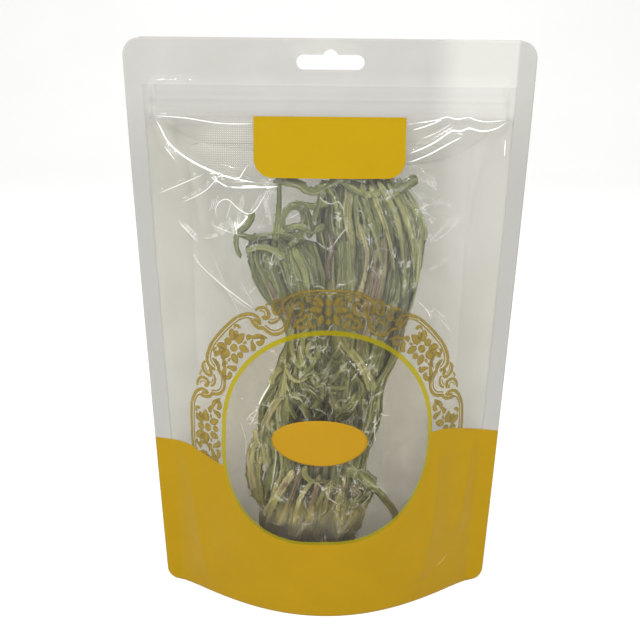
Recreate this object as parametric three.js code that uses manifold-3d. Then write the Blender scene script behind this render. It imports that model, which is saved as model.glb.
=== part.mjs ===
// A standing zip pouch of dried celtuce. Two hanks of dried stem strips lie in a clear
// vacuum bag, and the bag stands in a clear pouch with a folded base, a press zip and a hang slot.
// Millimetres, +Z up, the pouch's front faces -Y, the origin is at the centre of the base.
import * as THREE from "three";
import { mergeVertices } from "three/addons/utils/BufferGeometryUtils.js";
import Module from "manifold-3d";

const wasm = await Module();
wasm.setup();

// Driving dimensions
const POUCH_WIDTH = 200;
const POUCH_HEIGHT = 300;
const BASE_HALF_DEPTH = 34;
const BASE_NARROWING = 9; // the bowed film draws each side edge in by this at the base
const FILM = 0.6; // every film, thicker than life so that it is a sound solid
const GAP = 0.35; // between pieces that touch
const SIDE_SEAL = 8.5;
const CAVITY_TOP = 265;
const TOP_CORNER = 9;
const BASE_CORNER = 8;

const ZIP_BULGE = 1.9; // how far the zip holds each panel from the middle plane
const ZIP_LOW = 267;
const ZIP_HIGH = 279.5;
const ZIP_RAMP = 2;
const ZIP_HALF_LENGTH = 84;

const SLOT_WIDTH = 33;
const SLOT_HEIGHT = 7;
const SLOT_CENTRE = 289;
const SLOT_NUB_RADIUS = 4;
const SLOT_NUB_CENTRE = 291;

const GUSSET_LOW = 6; // height of the base fold's seam at the middle of the front
const GUSSET_RISE = 36; // how much higher the seam is at the sides
const GUSSET_CROWN = 3;
const SKIRT_GAP = 0.35; // from the skirt to the middle face of a panel's gap

const BAG_HALF_WIDTH = 70;
const BAG_LOW = 16;
const BAG_HIGH = 250;
const BAG_BASE_CORNER = 30;
const BAG_TOP_CORNER = 4;

const LABEL = { x: -4, z: 101.8, width: 50, height: 24.6, thickness: 0.35, stand: 0.45 };

const STRIP_WIDTH = 6.4;
const STRIP_THICKNESS = 3.4;
const CORE_SHARE = 0.8; // the packed middle of a hank against its outside

// A height's depth and width on the pouch
function halfWidth(z) {
  return POUCH_WIDTH / 2 - BASE_NARROWING * (1 - z / POUCH_HEIGHT) ** 1.3;
}

function cavityHalfWidth(z) {
  return halfWidth(z) - SIDE_SEAL;
}

// Half the space between the panels, where s is -1 and 1 at the side seals
function fillDepth(s, z) {
  if (z >= CAVITY_TOP || Math.abs(s) >= 1) return 0;
  const swell = BASE_HALF_DEPTH * (1 - (z / CAVITY_TOP) ** 2.2) ** 0.8;
  return swell * (1 - s * s) ** (1.15 + (0.75 * z) / POUCH_HEIGHT);
}

function zipDepth(s, z) {
  const rise = Math.min((z - ZIP_LOW) / ZIP_RAMP + 1, (ZIP_HIGH - z) / ZIP_RAMP + 1, 1);
  return Math.abs(s) < 1 ? ZIP_BULGE * Math.max(rise, 0) : 0;
}

function panelDepth(s, z) {
  return Math.max(fillDepth(s, z), zipDepth(s, z));
}

// A smooth line through a few [place, value] points
function through(points, at) {
  const last = points.length - 1;
  const i = Math.min(Math.max(points.findIndex((p) => p[0] > at) - 1, 0), last - 1);
  const first = at >= points[last][0] ? last - 1 : i;
  const slope = (k) => {
    const a = points[Math.max(k - 1, 0)];
    const b = points[Math.min(k + 1, last)];
    return (b[1] - a[1]) / (b[0] - a[0]);
  };
  const [x0, y0] = points[first];
  const [x1, y1] = points[first + 1];
  const span = x1 - x0;
  const t = Math.min(Math.max((at - x0) / span, 0), 1);
  const rise = slope(first) * span;
  const fall = slope(first + 1) * span;
  const lift = t * t * (3 - 2 * t);
  return y0 + (y1 - y0) * lift + rise * t * (1 - t) ** 2 - fall * t * t * (1 - t);
}

// A repeatable random number from 0 to 1
function drawFrom(seed) {
  let state = seed;
  return () => {
    state = (state * 1664525 + 1013904223) % 4294967296;
    return state / 4294967296;
  };
}

// Solids
function geometryOf(positions, triangles) {
  const geometry = new THREE.BufferGeometry();
  geometry.setAttribute("position", new THREE.Float32BufferAttribute(positions, 3));
  geometry.setIndex(triangles);
  return geometry;
}

function solidOf(geometry) {
  const bare = geometry.clone();
  bare.deleteAttribute("normal");
  bare.deleteAttribute("uv");
  const merged = mergeVertices(bare, 1e-4);
  const build = (triVerts) =>
    new wasm.Manifold(
      new wasm.Mesh({
        numProp: 3,
        vertProperties: new Float32Array(merged.attributes.position.array),
        triVerts: new Uint32Array(triVerts),
      }),
    );
  const made = build(merged.index.array);
  if (made.volume() > 0) return made;
  const turned = Array.from(merged.index.array);
  for (let i = 0; i < turned.length; i += 3) {
    [turned[i + 1], turned[i + 2]] = [turned[i + 2], turned[i + 1]];
  }
  return build(turned);
}

function geometryFrom(solid) {
  const mesh = solid.getMesh();
  const positions = [];
  for (let i = 0; i < mesh.numVert; i++) {
    positions.push(...mesh.vertProperties.subarray(i * mesh.numProp, i * mesh.numProp + 3));
  }
  return geometryOf(positions, Array.from(mesh.triVerts));
}

// A closed sheet between two grids of points, given as rows of the same length
function sheetSolid(outer, inner) {
  const rows = outer.length;
  const columns = outer[0].length;
  const positions = [...outer.flat(), ...inner.flat()].flat();
  const triangles = [];
  const at = (side, row, column) => side * rows * columns + row * columns + column;
  const quad = (a, b, c, d) => triangles.push(a, b, c, a, c, d);
  for (let row = 0; row < rows - 1; row++) {
    for (let column = 0; column < columns - 1; column++) {
      const corners = [
        [row, column],
        [row, column + 1],
        [row + 1, column + 1],
        [row + 1, column],
      ];
      quad(...corners.map(([r, c]) => at(0, r, c)));
      quad(...corners.reverse().map(([r, c]) => at(1, r, c)));
    }
  }
  const rim = [];
  for (let column = 0; column < columns - 1; column++) rim.push([0, column]);
  for (let row = 0; row < rows - 1; row++) rim.push([row, columns - 1]);
  for (let column = columns - 1; column > 0; column--) rim.push([rows - 1, column]);
  for (let row = rows - 1; row > 0; row--) rim.push([row, 0]);
  rim.forEach(([r, c], i) => {
    const [nextRow, nextColumn] = rim[(i + 1) % rim.length];
    quad(at(1, r, c), at(1, nextRow, nextColumn), at(0, nextRow, nextColumn), at(0, r, c));
  });
  return solidOf(geometryOf(positions, triangles));
}

// A closed body through a row of rings with the same number of points
function loftSolid(rings) {
  const sides = rings[0].length;
  const positions = rings.flat().flat();
  const triangles = [];
  for (let ring = 0; ring < rings.length - 1; ring++) {
    for (let side = 0; side < sides; side++) {
      const a = ring * sides + side;
      const b = ring * sides + ((side + 1) % sides);
      triangles.push(a, b, b + sides, a, b + sides, a + sides);
    }
  }
  const last = (rings.length - 1) * sides;
  for (let side = 1; side < sides - 1; side++) {
    triangles.push(0, side + 1, side);
    triangles.push(last, last + side, last + side + 1);
  }
  return solidOf(geometryOf(positions, triangles));
}

// A prism that runs through both panels, from a shape drawn in X and Z
function cutter(shape) {
  const reach = 3 * BASE_HALF_DEPTH;
  const geometry = new THREE.ExtrudeGeometry(shape, {
    depth: 2 * reach,
    bevelEnabled: false,
    curveSegments: 6,
  });
  geometry.translate(0, 0, -reach);
  geometry.rotateX(Math.PI / 2);
  return solidOf(geometry);
}

// What a rounded corner leaves over: side is -1 or 1, up is -1 at the foot and 1 at the top
function cornerCutter(x, z, radius, side, up) {
  const past = 6;
  const shape = new THREE.Shape();
  shape.moveTo(side * (x + past), z + up * past);
  shape.lineTo(side * (x - radius), z + up * past);
  shape.lineTo(side * (x - radius), z);
  const steps = 6;
  for (let i = 1; i <= steps; i++) {
    const turn = (i / steps) * (Math.PI / 2);
    const across = x - radius + radius * Math.sin(turn);
    shape.lineTo(side * across, z + up * radius * (Math.cos(turn) - 1));
  }
  shape.lineTo(side * (x + past), z - up * radius);
  return cutter(shape);
}

function slotCutter() {
  const end = SLOT_HEIGHT / 2;
  const reach = SLOT_WIDTH / 2 - end;
  const slot = new THREE.Shape();
  slot.absarc(reach, SLOT_CENTRE, end, -Math.PI / 2, Math.PI / 2, false);
  slot.absarc(-reach, SLOT_CENTRE, end, Math.PI / 2, (3 * Math.PI) / 2, false);
  const nub = new THREE.Shape();
  nub.absarc(0, SLOT_NUB_CENTRE, SLOT_NUB_RADIUS, 0, 2 * Math.PI, false);
  return cutter(slot).add(cutter(nub));
}

// The pouch: front and back panels
const CAVITY_COLUMNS = [-1, -0.93, -0.8, -0.64, -0.48, -0.32, -0.16, 0];
const PANEL_COLUMNS = [...CAVITY_COLUMNS, ...CAVITY_COLUMNS.slice(0, -1).reverse().map((s) => -s)];
const PANEL_ROWS = [
  0, 6, 16, 30, 48, 68, 88, 108, 128, 146, 162, 178, 193, 207, 220, 232, 242, 251, 258, 262.5,
  CAVITY_TOP, ZIP_LOW, ZIP_HIGH, ZIP_HIGH + ZIP_RAMP, POUCH_HEIGHT,
];

function panelRow(z, side, offset) {
  const across = PANEL_COLUMNS.map((s) => [s * cavityHalfWidth(z), panelDepth(s, z)]);
  const edge = halfWidth(z);
  return [[-edge, 0], ...across, [edge, 0]].map(([x, depth]) => [x, side * (depth + offset), z]);
}

function panelSolid(side) {
  const rows = (offset) => PANEL_ROWS.map((z) => panelRow(z, side, offset));
  let panel = sheetSolid(rows(GAP / 2 + FILM), rows(GAP / 2));
  for (const across of [-1, 1]) {
    const top = cornerCutter(halfWidth(POUCH_HEIGHT), POUCH_HEIGHT, TOP_CORNER, across, 1);
    const foot = cornerCutter(halfWidth(0), 0, BASE_CORNER, across, -1);
    panel = panel.subtract(top).subtract(foot);
  }
  return panel.subtract(slotCutter());
}

// The folded base: a skirt inside each panel, and a web from one to the other
function gussetSolid() {
  const columns = PANEL_COLUMNS.slice(1, -1);
  const web = [-0.95, -0.6, -0.2, 0.2, 0.6, 0.95];
  const lowest = 0.6;
  const section = (s, inset, drop) => {
    const seam = GUSSET_LOW + GUSSET_RISE * s ** 4;
    const wall = (z) => fillDepth(s, z) - SKIRT_GAP - inset;
    const point = (y, z) => [s * cavityHalfWidth(z), y, z];
    const skirt = [lowest, seam / 2, seam - drop];
    const front = skirt.map((z) => point(-wall(z), z));
    const middle = web.map((q) => point(q * wall(seam), seam - drop + GUSSET_CROWN * (1 - q * q)));
    const back = skirt.reverse().map((z) => point(wall(z), z));
    return [...front, ...middle, ...back];
  };
  const outer = columns.map((s) => section(s, 0, 0));
  const inner = columns.map((s) => section(s, FILM, FILM));
  return sheetSolid(outer, inner);
}

// The press zip: a rib on the front tape between two jaws on the back tape
function zipTrack(outline) {
  const shape = new THREE.Shape(outline.map(([y, z]) => new THREE.Vector2(y, z)));
  const length = 2 * ZIP_HALF_LENGTH;
  const geometry = new THREE.ExtrudeGeometry(shape, { depth: length, bevelEnabled: false });
  // the outline's own axes become Y and Z, and its depth runs along X
  const turn = new THREE.Matrix4().makeBasis(
    new THREE.Vector3(0, 1, 0),
    new THREE.Vector3(0, 0, 1),
    new THREE.Vector3(1, 0, 0),
  );
  geometry.applyMatrix4(turn);
  geometry.translate(-ZIP_HALF_LENGTH, 0, 0);
  return solidOf(geometry);
}

const ZIP_LINE = 272.8; // height of the rib
const TAPE_FACE = 1.1;
const TAPE_BACK = 1.7;
const TAPE_HALF = 5.2;
const TAPE_MIDDLE = (ZIP_LOW + ZIP_HIGH) / 2;

const zipRibOutline = [
  [-TAPE_BACK, TAPE_MIDDLE - TAPE_HALF],
  [-TAPE_FACE, TAPE_MIDDLE - TAPE_HALF],
  [-TAPE_FACE, ZIP_LINE - 0.6],
  [-0.1, ZIP_LINE - 0.6],
  [-0.1, ZIP_LINE - 1],
  [0.4, ZIP_LINE],
  [-0.1, ZIP_LINE + 1],
  [-0.1, ZIP_LINE + 0.6],
  [-TAPE_FACE, ZIP_LINE + 0.6],
  [-TAPE_FACE, TAPE_MIDDLE + TAPE_HALF],
  [-TAPE_BACK, TAPE_MIDDLE + TAPE_HALF],
];

const zipJawOutline = [
  [TAPE_BACK, TAPE_MIDDLE - TAPE_HALF],
  [TAPE_BACK, TAPE_MIDDLE + TAPE_HALF],
  [TAPE_FACE, TAPE_MIDDLE + TAPE_HALF],
  [TAPE_FACE, ZIP_LINE + 2.2],
  [-0.4, ZIP_LINE + 2.2],
  [-0.4, ZIP_LINE + 1.4],
  [TAPE_FACE, ZIP_LINE + 1.4],
  [TAPE_FACE, ZIP_LINE - 1.4],
  [-0.4, ZIP_LINE - 1.4],
  [-0.4, ZIP_LINE - 2.2],
  [TAPE_FACE, ZIP_LINE - 2.2],
  [TAPE_FACE, TAPE_MIDDLE - TAPE_HALF],
];

// The oval label follows the front panel
function labelSolid() {
  const spokes = 28;
  const rings = [0.36, 0.7, 1];
  const place = (share, spoke, offset) => {
    const turn = (spoke / spokes) * 2 * Math.PI;
    const x = LABEL.x + (share * LABEL.width * Math.cos(turn)) / 2;
    const z = LABEL.z + (share * LABEL.height * Math.sin(turn)) / 2;
    const depth = panelDepth(x / cavityHalfWidth(z), z);
    return [x, -(depth + GAP / 2 + FILM + LABEL.stand + offset), z];
  };
  const face = (offset) => [
    place(0, 0, offset),
    ...rings.flatMap((share) => [...Array(spokes).keys()].map((k) => place(share, k, offset))),
  ];
  const size = 1 + rings.length * spokes;
  const positions = [...face(LABEL.thickness), ...face(0)].flat();
  const triangles = [];
  const at = (side, ring, spoke) => side * size + 1 + ring * spokes + (spoke % spokes);
  for (let k = 0; k < spokes; k++) {
    triangles.push(0, at(0, 0, k), at(0, 0, k + 1));
    triangles.push(size, at(1, 0, k + 1), at(1, 0, k));
    for (let ring = 0; ring < rings.length - 1; ring++) {
      const quad = [[ring, k], [ring + 1, k], [ring + 1, k + 1], [ring, k + 1]];
      const [a, b, c, d] = quad.map(([r, spoke]) => at(0, r, spoke));
      const [e, f, g, h] = quad.map(([r, spoke]) => at(1, r, spoke));
      triangles.push(a, b, c, a, c, d, e, g, f, e, h, g);
    }
    const rim = rings.length - 1;
    triangles.push(at(0, rim, k), at(1, rim, k), at(1, rim, k + 1));
    triangles.push(at(0, rim, k), at(1, rim, k + 1), at(0, rim, k + 1));
  }
  return solidOf(geometryOf(positions, triangles));
}

// The vacuum bag: half its thickness by height, and a flat seal all round
const BAG_SWELL = [
  [17, 0], [24, 13], [40, 18], [100, 20], [150, 19.5], [190, 17], [215, 12.6], [230, 8.8], [241, 0],
];
const BAG_SWELL_HALF_WIDTH = [
  [16, 58], [50, 64], [90, 64], [130, 62], [180, 65], [210, 63], [241, 56],
];
const BAG_ROWS = [
  BAG_LOW, 17, 24, 34, 50, 70, 92, 114, 135, 156, 176, 195, 211, 222, 232, 241, BAG_HIGH,
];

function bagDepth(s, z) {
  const swell = Math.max(through(BAG_SWELL, z), 0);
  return swell * (1 - Math.abs(s) ** 2.5) ** 0.8;
}

function bagSolid(side) {
  const columns = PANEL_COLUMNS;
  const row = (z, offset) => {
    const half = through(BAG_SWELL_HALF_WIDTH, z);
    const across = columns.map((s) => [s * half, bagDepth(s, z)]);
    return [[-BAG_HALF_WIDTH, 0], ...across, [BAG_HALF_WIDTH, 0]].map(([x, depth]) => [
      x,
      side * (depth + offset),
      z,
    ]);
  };
  const rows = (offset) => BAG_ROWS.map((z) => row(z, offset));
  let bag = sheetSolid(rows(GAP / 2 + FILM), rows(GAP / 2));
  for (const across of [-1, 1]) {
    bag = bag.subtract(cornerCutter(BAG_HALF_WIDTH, BAG_HIGH, BAG_TOP_CORNER, across, 1));
    bag = bag.subtract(cornerCutter(BAG_HALF_WIDTH, BAG_LOW, BAG_BASE_CORNER, across, -1));
  }
  return bag;
}

// The hanks: left and right outline and half thickness by height
const LEFT_HANK = {
  seed: 11,
  strips: 9,
  low: 25,
  high: 208,
  left: [
    [25, -44], [46, -50], [71, -55], [89, -53], [107, -46], [129, -33], [152, -34], [173, -42],
    [193, -49], [208, -38],
  ],
  right: [[25, -2], [71, -1], [107, -1], [152, -2], [193, -4], [208, -16]],
  half: [[25, 9], [46, 13.5], [107, 16], [173, 15], [193, 13], [204, 8], [208, 3]],
};
const RIGHT_HANK = {
  seed: 29,
  strips: 10,
  low: 24,
  high: 231,
  left: [[24, 3], [71, 3], [107, 3], [152, 3], [193, 0.5], [214, -6], [231, -8]],
  right: [
    [24, 25], [34, 27], [71, 34], [89, 36], [119, 36], [130, 41], [152, 50], [174, 53], [207, 51],
    [221, 44], [231, 34],
  ],
  half: [[24, 8], [46, 13], [107, 16.5], [174, 14.5], [207, 10.5], [224, 6], [231, 2.5]],
};

function hankAt(hank, z) {
  const left = through(hank.left, z);
  const right = through(hank.right, z);
  return { middle: (left + right) / 2, across: (right - left) / 2, deep: through(hank.half, z) };
}

function coreSolid(hank) {
  const sides = 10;
  const levels = 11;
  const rings = [];
  for (let level = 0; level <= levels; level++) {
    const z = hank.low + 3 + ((hank.high - hank.low - 5) * level) / levels;
    const { middle, across, deep } = hankAt(hank, z);
    const ring = [];
    for (let side = 0; side < sides; side++) {
      const turn = (side / sides) * 2 * Math.PI;
      const x = middle + CORE_SHARE * across * Math.cos(turn);
      ring.push([x, CORE_SHARE * deep * Math.sin(turn), z]);
    }
    rings.push(ring);
  }
  return loftSolid(rings);
}

// A flat strip along a path: four sides, its width across the outward direction, ends drawn in
function stripSolid(path, outward, width, thickness) {
  const vectors = path.map((p) => new THREE.Vector3(...p));
  const rings = vectors.map((p, i) => {
    const before = vectors[Math.max(i - 1, 0)];
    const after = vectors[Math.min(i + 1, vectors.length - 1)];
    const along = after.clone().sub(before).normalize();
    const out = new THREE.Vector3(...outward(i));
    const side = along.clone().cross(out).normalize();
    const normal = side.clone().cross(along).normalize();
    const end = i === 0 || i === vectors.length - 1 ? 0.45 : 1;
    const corner = (a, b) => {
      const point = p.clone().addScaledVector(side, (a * end * width) / 2);
      return point.addScaledVector(normal, (b * end * thickness) / 2).toArray();
    };
    return [corner(-1, 0), corner(0, -1), corner(1, 0), corner(0, 1)];
  });
  return loftSolid(rings);
}

// One strip of a hank: up its front, over the fold at the top and down its back
function foldedStrip(hank, lane, draw) {
  const steps = 8;
  const phase = draw() * 2 * Math.PI;
  const waves = 1.2 + 1.3 * draw();
  const sway = 0.03 + 0.05 * draw();
  const tip = hank.low + 9 * draw();
  const lift = hank.high - 2.2 * Math.abs(lane);
  const backLane = Math.max(-0.93, Math.min(0.93, lane + 0.24 * (draw() - 0.5)));
  const path = [];
  for (let i = 0; i <= 2 * steps; i++) {
    const front = i <= steps;
    const share = front ? i / steps : 2 - i / steps;
    const eased = 1 - (1 - share) ** 1.25;
    const z = tip + (lift - tip) * eased;
    const { middle, across, deep } = hankAt(hank, z);
    const drift = sway * Math.sin(phase + waves * 2 * Math.PI * share);
    const place = Math.max(-0.95, Math.min(0.95, (front ? lane : backLane) + drift));
    const inset = STRIP_THICKNESS / 2;
    const depth = Math.max(deep - inset, 0.4) * Math.sqrt(1 - place * place);
    const crest = i === steps ? 0 : 1;
    path.push([middle + (across - inset) * place, (front ? -1 : 1) * crest * depth, z]);
  }
  const outward = (i) => {
    const [x, y, z] = path[i];
    const { middle, across, deep } = hankAt(hank, z);
    const rise = i === steps ? 1 : 0;
    return [(x - middle) / across ** 2, y / deep ** 2, rise];
  };
  return stripSolid(path, outward, STRIP_WIDTH * (0.8 + 0.4 * draw()), STRIP_THICKNESS);
}

// A strip that is wound once round a hank at one height
function wrapSolid(hank, z, tilt) {
  const turns = 18;
  const path = [];
  for (let i = 0; i <= turns; i++) {
    const turn = (i / turns) * 2 * Math.PI * 0.97 - Math.PI / 2;
    const height = z + tilt * Math.cos(turn) + 1.5 * Math.sin(2 * turn);
    const { middle, across, deep } = hankAt(hank, height);
    path.push([
      middle + (across - 0.6) * Math.cos(turn),
      (deep - 0.6) * Math.sin(turn),
      height,
    ]);
  }
  const outward = (i) => {
    const [x, y, height] = path[i];
    const { middle, across, deep } = hankAt(hank, height);
    return [(x - middle) / across ** 2, y / deep ** 2, 0];
  };
  return stripSolid(path, outward, STRIP_WIDTH, 2.6);
}

// A loose strip through a few points, whose flat side faces the front
function looseStrip(points, width, thickness) {
  const curve = new THREE.CatmullRomCurve3(points.map((p) => new THREE.Vector3(...p)));
  const path = curve.getPoints(4 * (points.length - 1)).map((p) => p.toArray());
  return stripSolid(path, () => [0, -1, 0.2], width, thickness);
}

function hankSolid(hank, extras) {
  const draw = drawFrom(hank.seed);
  let solid = coreSolid(hank);
  for (let k = 0; k < hank.strips; k++) {
    const lane = -0.93 + (1.86 * k) / (hank.strips - 1);
    solid = solid.add(foldedStrip(hank, lane, draw));
  }
  for (const extra of extras) solid = solid.add(extra);
  const [whole] = solid.decompose().sort((a, b) => b.volume() - a.volume());
  return whole;
}

// Strips that leave their hank: a stem across the top, and one that bends away at the foot
const topStem = looseStrip(
  [[-38, -1, 231], [-28, -3, 230], [-17, -4, 230], [-6, -4, 226], [2, -2, 219]],
  6.4,
  4.6,
);
const foldStem = looseStrip([[-33, -1, 190], [-35, -2, 204], [-34, -1.5, 218]], 6, 4.4);
const footStem = looseStrip(
  [[28, -8, 78], [36, -9, 67], [44, -7, 60], [51, -5, 48], [55, -3, 36]],
  6,
  3,
);
const curlTip = looseStrip([[22, 0, 222], [29, -1, 230], [37, -1, 233]], 6, 5);

// The assembly
function material(colour, roughness, opacity) {
  return new THREE.MeshStandardMaterial({
    color: new THREE.Color(colour),
    roughness,
    metalness: 0,
    transparent: opacity < 1,
    opacity,
  });
}

const clearFilm = material("#d9dad2", 0.15, 0.25);
const milkyFilm = material("#cfcfc8", 0.35, 0.8);
const goldFilm = material("#b98d17", 0.4, 1);
const bagFilm = material("#e6e8e0", 0.08, 0.2);
const zipPlastic = material("#deded8", 0.3, 0.7);
const labelPaper = material("#d2981a", 0.5, 1);
const driedStem = material("#7b8260", 0.55, 1);
const palerStem = material("#868a63", 0.55, 1);

const celtucePouch = new THREE.Group();

function place(name, solid, look) {
  const mesh = new THREE.Mesh(geometryFrom(solid), look);
  mesh.name = name;
  celtucePouch.add(mesh);
}

place("front_panel", panelSolid(-1), clearFilm);
place("back_panel", panelSolid(1), milkyFilm);
place("base_gusset", gussetSolid(), goldFilm);
place("zip_rib_track", zipTrack(zipRibOutline), zipPlastic);
place("zip_jaw_track", zipTrack(zipJawOutline), zipPlastic);
place("oval_label", labelSolid(), labelPaper);
place("inner_bag_front", bagSolid(-1), bagFilm);
place("inner_bag_back", bagSolid(1), bagFilm);
place("left_hank", hankSolid(LEFT_HANK, [wrapSolid(LEFT_HANK, 192, 2), foldStem]), driedStem);
place("right_hank", hankSolid(RIGHT_HANK, [topStem, footStem, curlTip]), palerStem);

export default celtucePouch;
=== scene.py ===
# %% [markdown]
# # A pouch of dried celtuce
# Celtuce is a lettuce grown for its thick stem. The stem is peeled, cut into long strips and
# dried, and the strips are folded into hanks. Here two hanks lie in a clear vacuum bag, and the
# bag stands in a clear pouch with gold printing. This lesson dresses the pouch's solids: it
# makes the films, the print, the wrinkled bag and some hundreds of strips, all in one frame.

# %% Load the frame
import math
import random

import bmesh
import bpy
import numpy as np
from mathutils import Matrix, Vector
from mathutils.bvhtree import BVHTree


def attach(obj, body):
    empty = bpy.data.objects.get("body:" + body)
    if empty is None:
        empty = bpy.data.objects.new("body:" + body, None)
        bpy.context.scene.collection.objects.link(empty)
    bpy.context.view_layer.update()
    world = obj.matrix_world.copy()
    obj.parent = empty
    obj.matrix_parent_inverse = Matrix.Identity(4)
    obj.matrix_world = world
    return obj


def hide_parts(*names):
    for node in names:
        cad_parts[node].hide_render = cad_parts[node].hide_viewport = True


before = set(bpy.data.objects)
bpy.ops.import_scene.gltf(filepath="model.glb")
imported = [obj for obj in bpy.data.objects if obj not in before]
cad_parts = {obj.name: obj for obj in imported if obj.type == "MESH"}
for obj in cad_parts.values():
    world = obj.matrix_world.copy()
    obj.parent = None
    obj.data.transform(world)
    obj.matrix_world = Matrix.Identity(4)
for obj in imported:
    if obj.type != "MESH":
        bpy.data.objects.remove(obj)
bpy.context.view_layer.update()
MM = 0.001
print("nodes in the frame:", ", ".join(sorted(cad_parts)))

# %% [markdown]
# ## The camera
# The camera comes first, so that every later piece can be judged against the photograph. It
# looks slightly down at the pouch from a hand's distance and a half, a little off the middle.
# An angle, a height and a roll are turned into three directions, which are the camera's axes.

# %% Camera
LOOK_AT = Vector((0, 0, 158.7)) * MM
CAMERA_DISTANCE = 448.97 * MM
AZIMUTH, ELEVATION, ROLL = (math.radians(turn) for turn in (-0.67, 17.43, 0.58))
FRAME_PIXELS, FOCAL_PIXELS, SHIFT_PIXELS = 640, 850, -7.9
SENSOR_MM = 36


def placed(name, data):
    """An object that holds data, put in the scene."""
    thing = bpy.data.objects.new(name, data)
    bpy.context.scene.collection.objects.link(thing)
    return thing


def camera_axes():
    flat = Vector((math.sin(AZIMUTH), -math.cos(AZIMUTH), 0))
    back = flat * math.cos(ELEVATION) + Vector((0, 0, math.sin(ELEVATION)))
    level = (-back).cross(Vector((0, 0, 1))).normalized()
    upright = level.cross(-back)
    right = level * math.cos(ROLL) + upright * math.sin(ROLL)
    up = upright * math.cos(ROLL) - level * math.sin(ROLL)
    return right, up, back


def place_camera():
    lens = bpy.data.cameras.new("camera")
    lens.sensor_width = SENSOR_MM
    lens.lens = SENSOR_MM * FOCAL_PIXELS / FRAME_PIXELS
    lens.shift_x = SHIFT_PIXELS / FRAME_PIXELS
    lens.clip_start = 0.01
    camera = placed("camera", lens)
    axes = camera_axes()
    place = Matrix(axes).transposed().to_4x4()
    place.translation = LOOK_AT + axes[2] * CAMERA_DISTANCE
    camera.matrix_world = place
    bpy.context.scene.camera = camera
    return place.translation


print("camera at", [round(c, 3) for c in place_camera()])

# %% [markdown]
# ## Floor and light
# The floor is one pale sheet that curves up behind, as a photographer's paper roll does, so no
# horizon shows through the film. The sky is an even pale light. Film shows its folds only by
# what they mirror, so three narrow bright lamps stand among the softboxes: wherever a fold
# turns towards one of them, a thin white line appears. The finishes also add painted highlights:
# thin white lines along the sharpest folds.

# %% Stage and lamps
scene = bpy.context.scene
scene.view_settings.view_transform = "Standard"
scene.cycles.max_bounces = 12
scene.cycles.glossy_bounces = 4
scene.cycles.transparent_max_bounces = 40
scene.cycles.sample_clamp_indirect = 4.0
# the paper roll, in metres: where it starts, how long it is, where it bends and how tightly
PAPER_START, PAPER_LENGTH, PAPER_FLAT, PAPER_BEND, PAPER_HALF = -4, 11, 1.6, 1.4, 7
SKY_STRENGTH = 0.85
POUCH_MIDDLE = (0, 0, 0.15)
LAMPS = (
    # name, place, aim, size and watts
    ("high softbox", (0.1, -0.7, 1.5), POUCH_MIDDLE, (1.2, 0.6), 7),
    ("left softbox", (-1.2, -1.0, 0.5), POUCH_MIDDLE, (0.5, 0.6), 7),
    ("right softbox", (1.2, -1.0, 0.5), POUCH_MIDDLE, (0.5, 0.6), 6),
    ("front strip", (-0.42, -1.0, 0.95), POUCH_MIDDLE, (0.3, 0.04), 3.6),
    ("left strip", (-0.8, -0.75, 0.95), POUCH_MIDDLE, (0.04, 0.4), 3.6),
    ("right strip", (0.75, -0.8, 1.0), POUCH_MIDDLE, (0.04, 0.4), 3.6),
    ("backdrop wash", (0, 0.4, 1.5), (0, 1.4, 0.7), (1.6, 0.3), 9),
)


def finished(name, bm):
    """Turns a bmesh into a smooth object that stands at the origin."""
    for face in bm.faces:
        face.smooth = True
    mesh = bpy.data.meshes.new(name)
    bm.to_mesh(mesh)
    bm.free()
    return placed(name, mesh)


def make_floor():
    """A flat sheet whose far end is rolled up: run is the way along the paper."""
    bm = bmesh.new()
    bmesh.ops.create_grid(bm, x_segments=4, y_segments=96, size=1)
    for vert in bm.verts:
        run = PAPER_START + (vert.co.y + 1) / 2 * PAPER_LENGTH
        turn = min(max((run - PAPER_FLAT) / PAPER_BEND, 0), math.pi / 2)
        straight = max(run - PAPER_FLAT - PAPER_BEND * math.pi / 2, 0)
        y = min(run, PAPER_FLAT) + PAPER_BEND * math.sin(turn)
        z = PAPER_BEND * (1 - math.cos(turn)) + straight
        vert.co = Vector((vert.co.x * PAPER_HALF, y, z))
    return finished("floor", bm)


def softbox(name, place, aim, size, watts):
    light = bpy.data.lights.new(name, "AREA")
    light.shape = "RECTANGLE"
    light.size, light.size_y = size
    light.energy = watts
    lamp = placed(name, light)
    lamp.location = place
    lamp.rotation_euler = (Vector(aim) - Vector(place)).to_track_quat("-Z", "Y").to_euler()


def pale_sky():
    scene.world = bpy.data.worlds.new("pale sky")
    scene.world.use_nodes = True
    sky = scene.world.node_tree.nodes["Background"].inputs
    sky["Color"].default_value = (1, 1, 1, 1)
    sky["Strength"].default_value = SKY_STRENGTH


floor = make_floor()
pale_sky()
for lamp in LAMPS:
    softbox(*lamp)
print("stage: a paper roll,", len(LAMPS), "lamps and a pale sky")

# %% [markdown]
# ## Finishes as recipes
# Each finish is a small node tree. Two helpers keep the trees readable. A recipe adds a node,
# sets its sockets by name or number and gives back an output. An output adds, multiplies and
# compares as a number does, and each such step is a Math node, so a recipe reads like a sum.

# %% The recipe helpers


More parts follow.
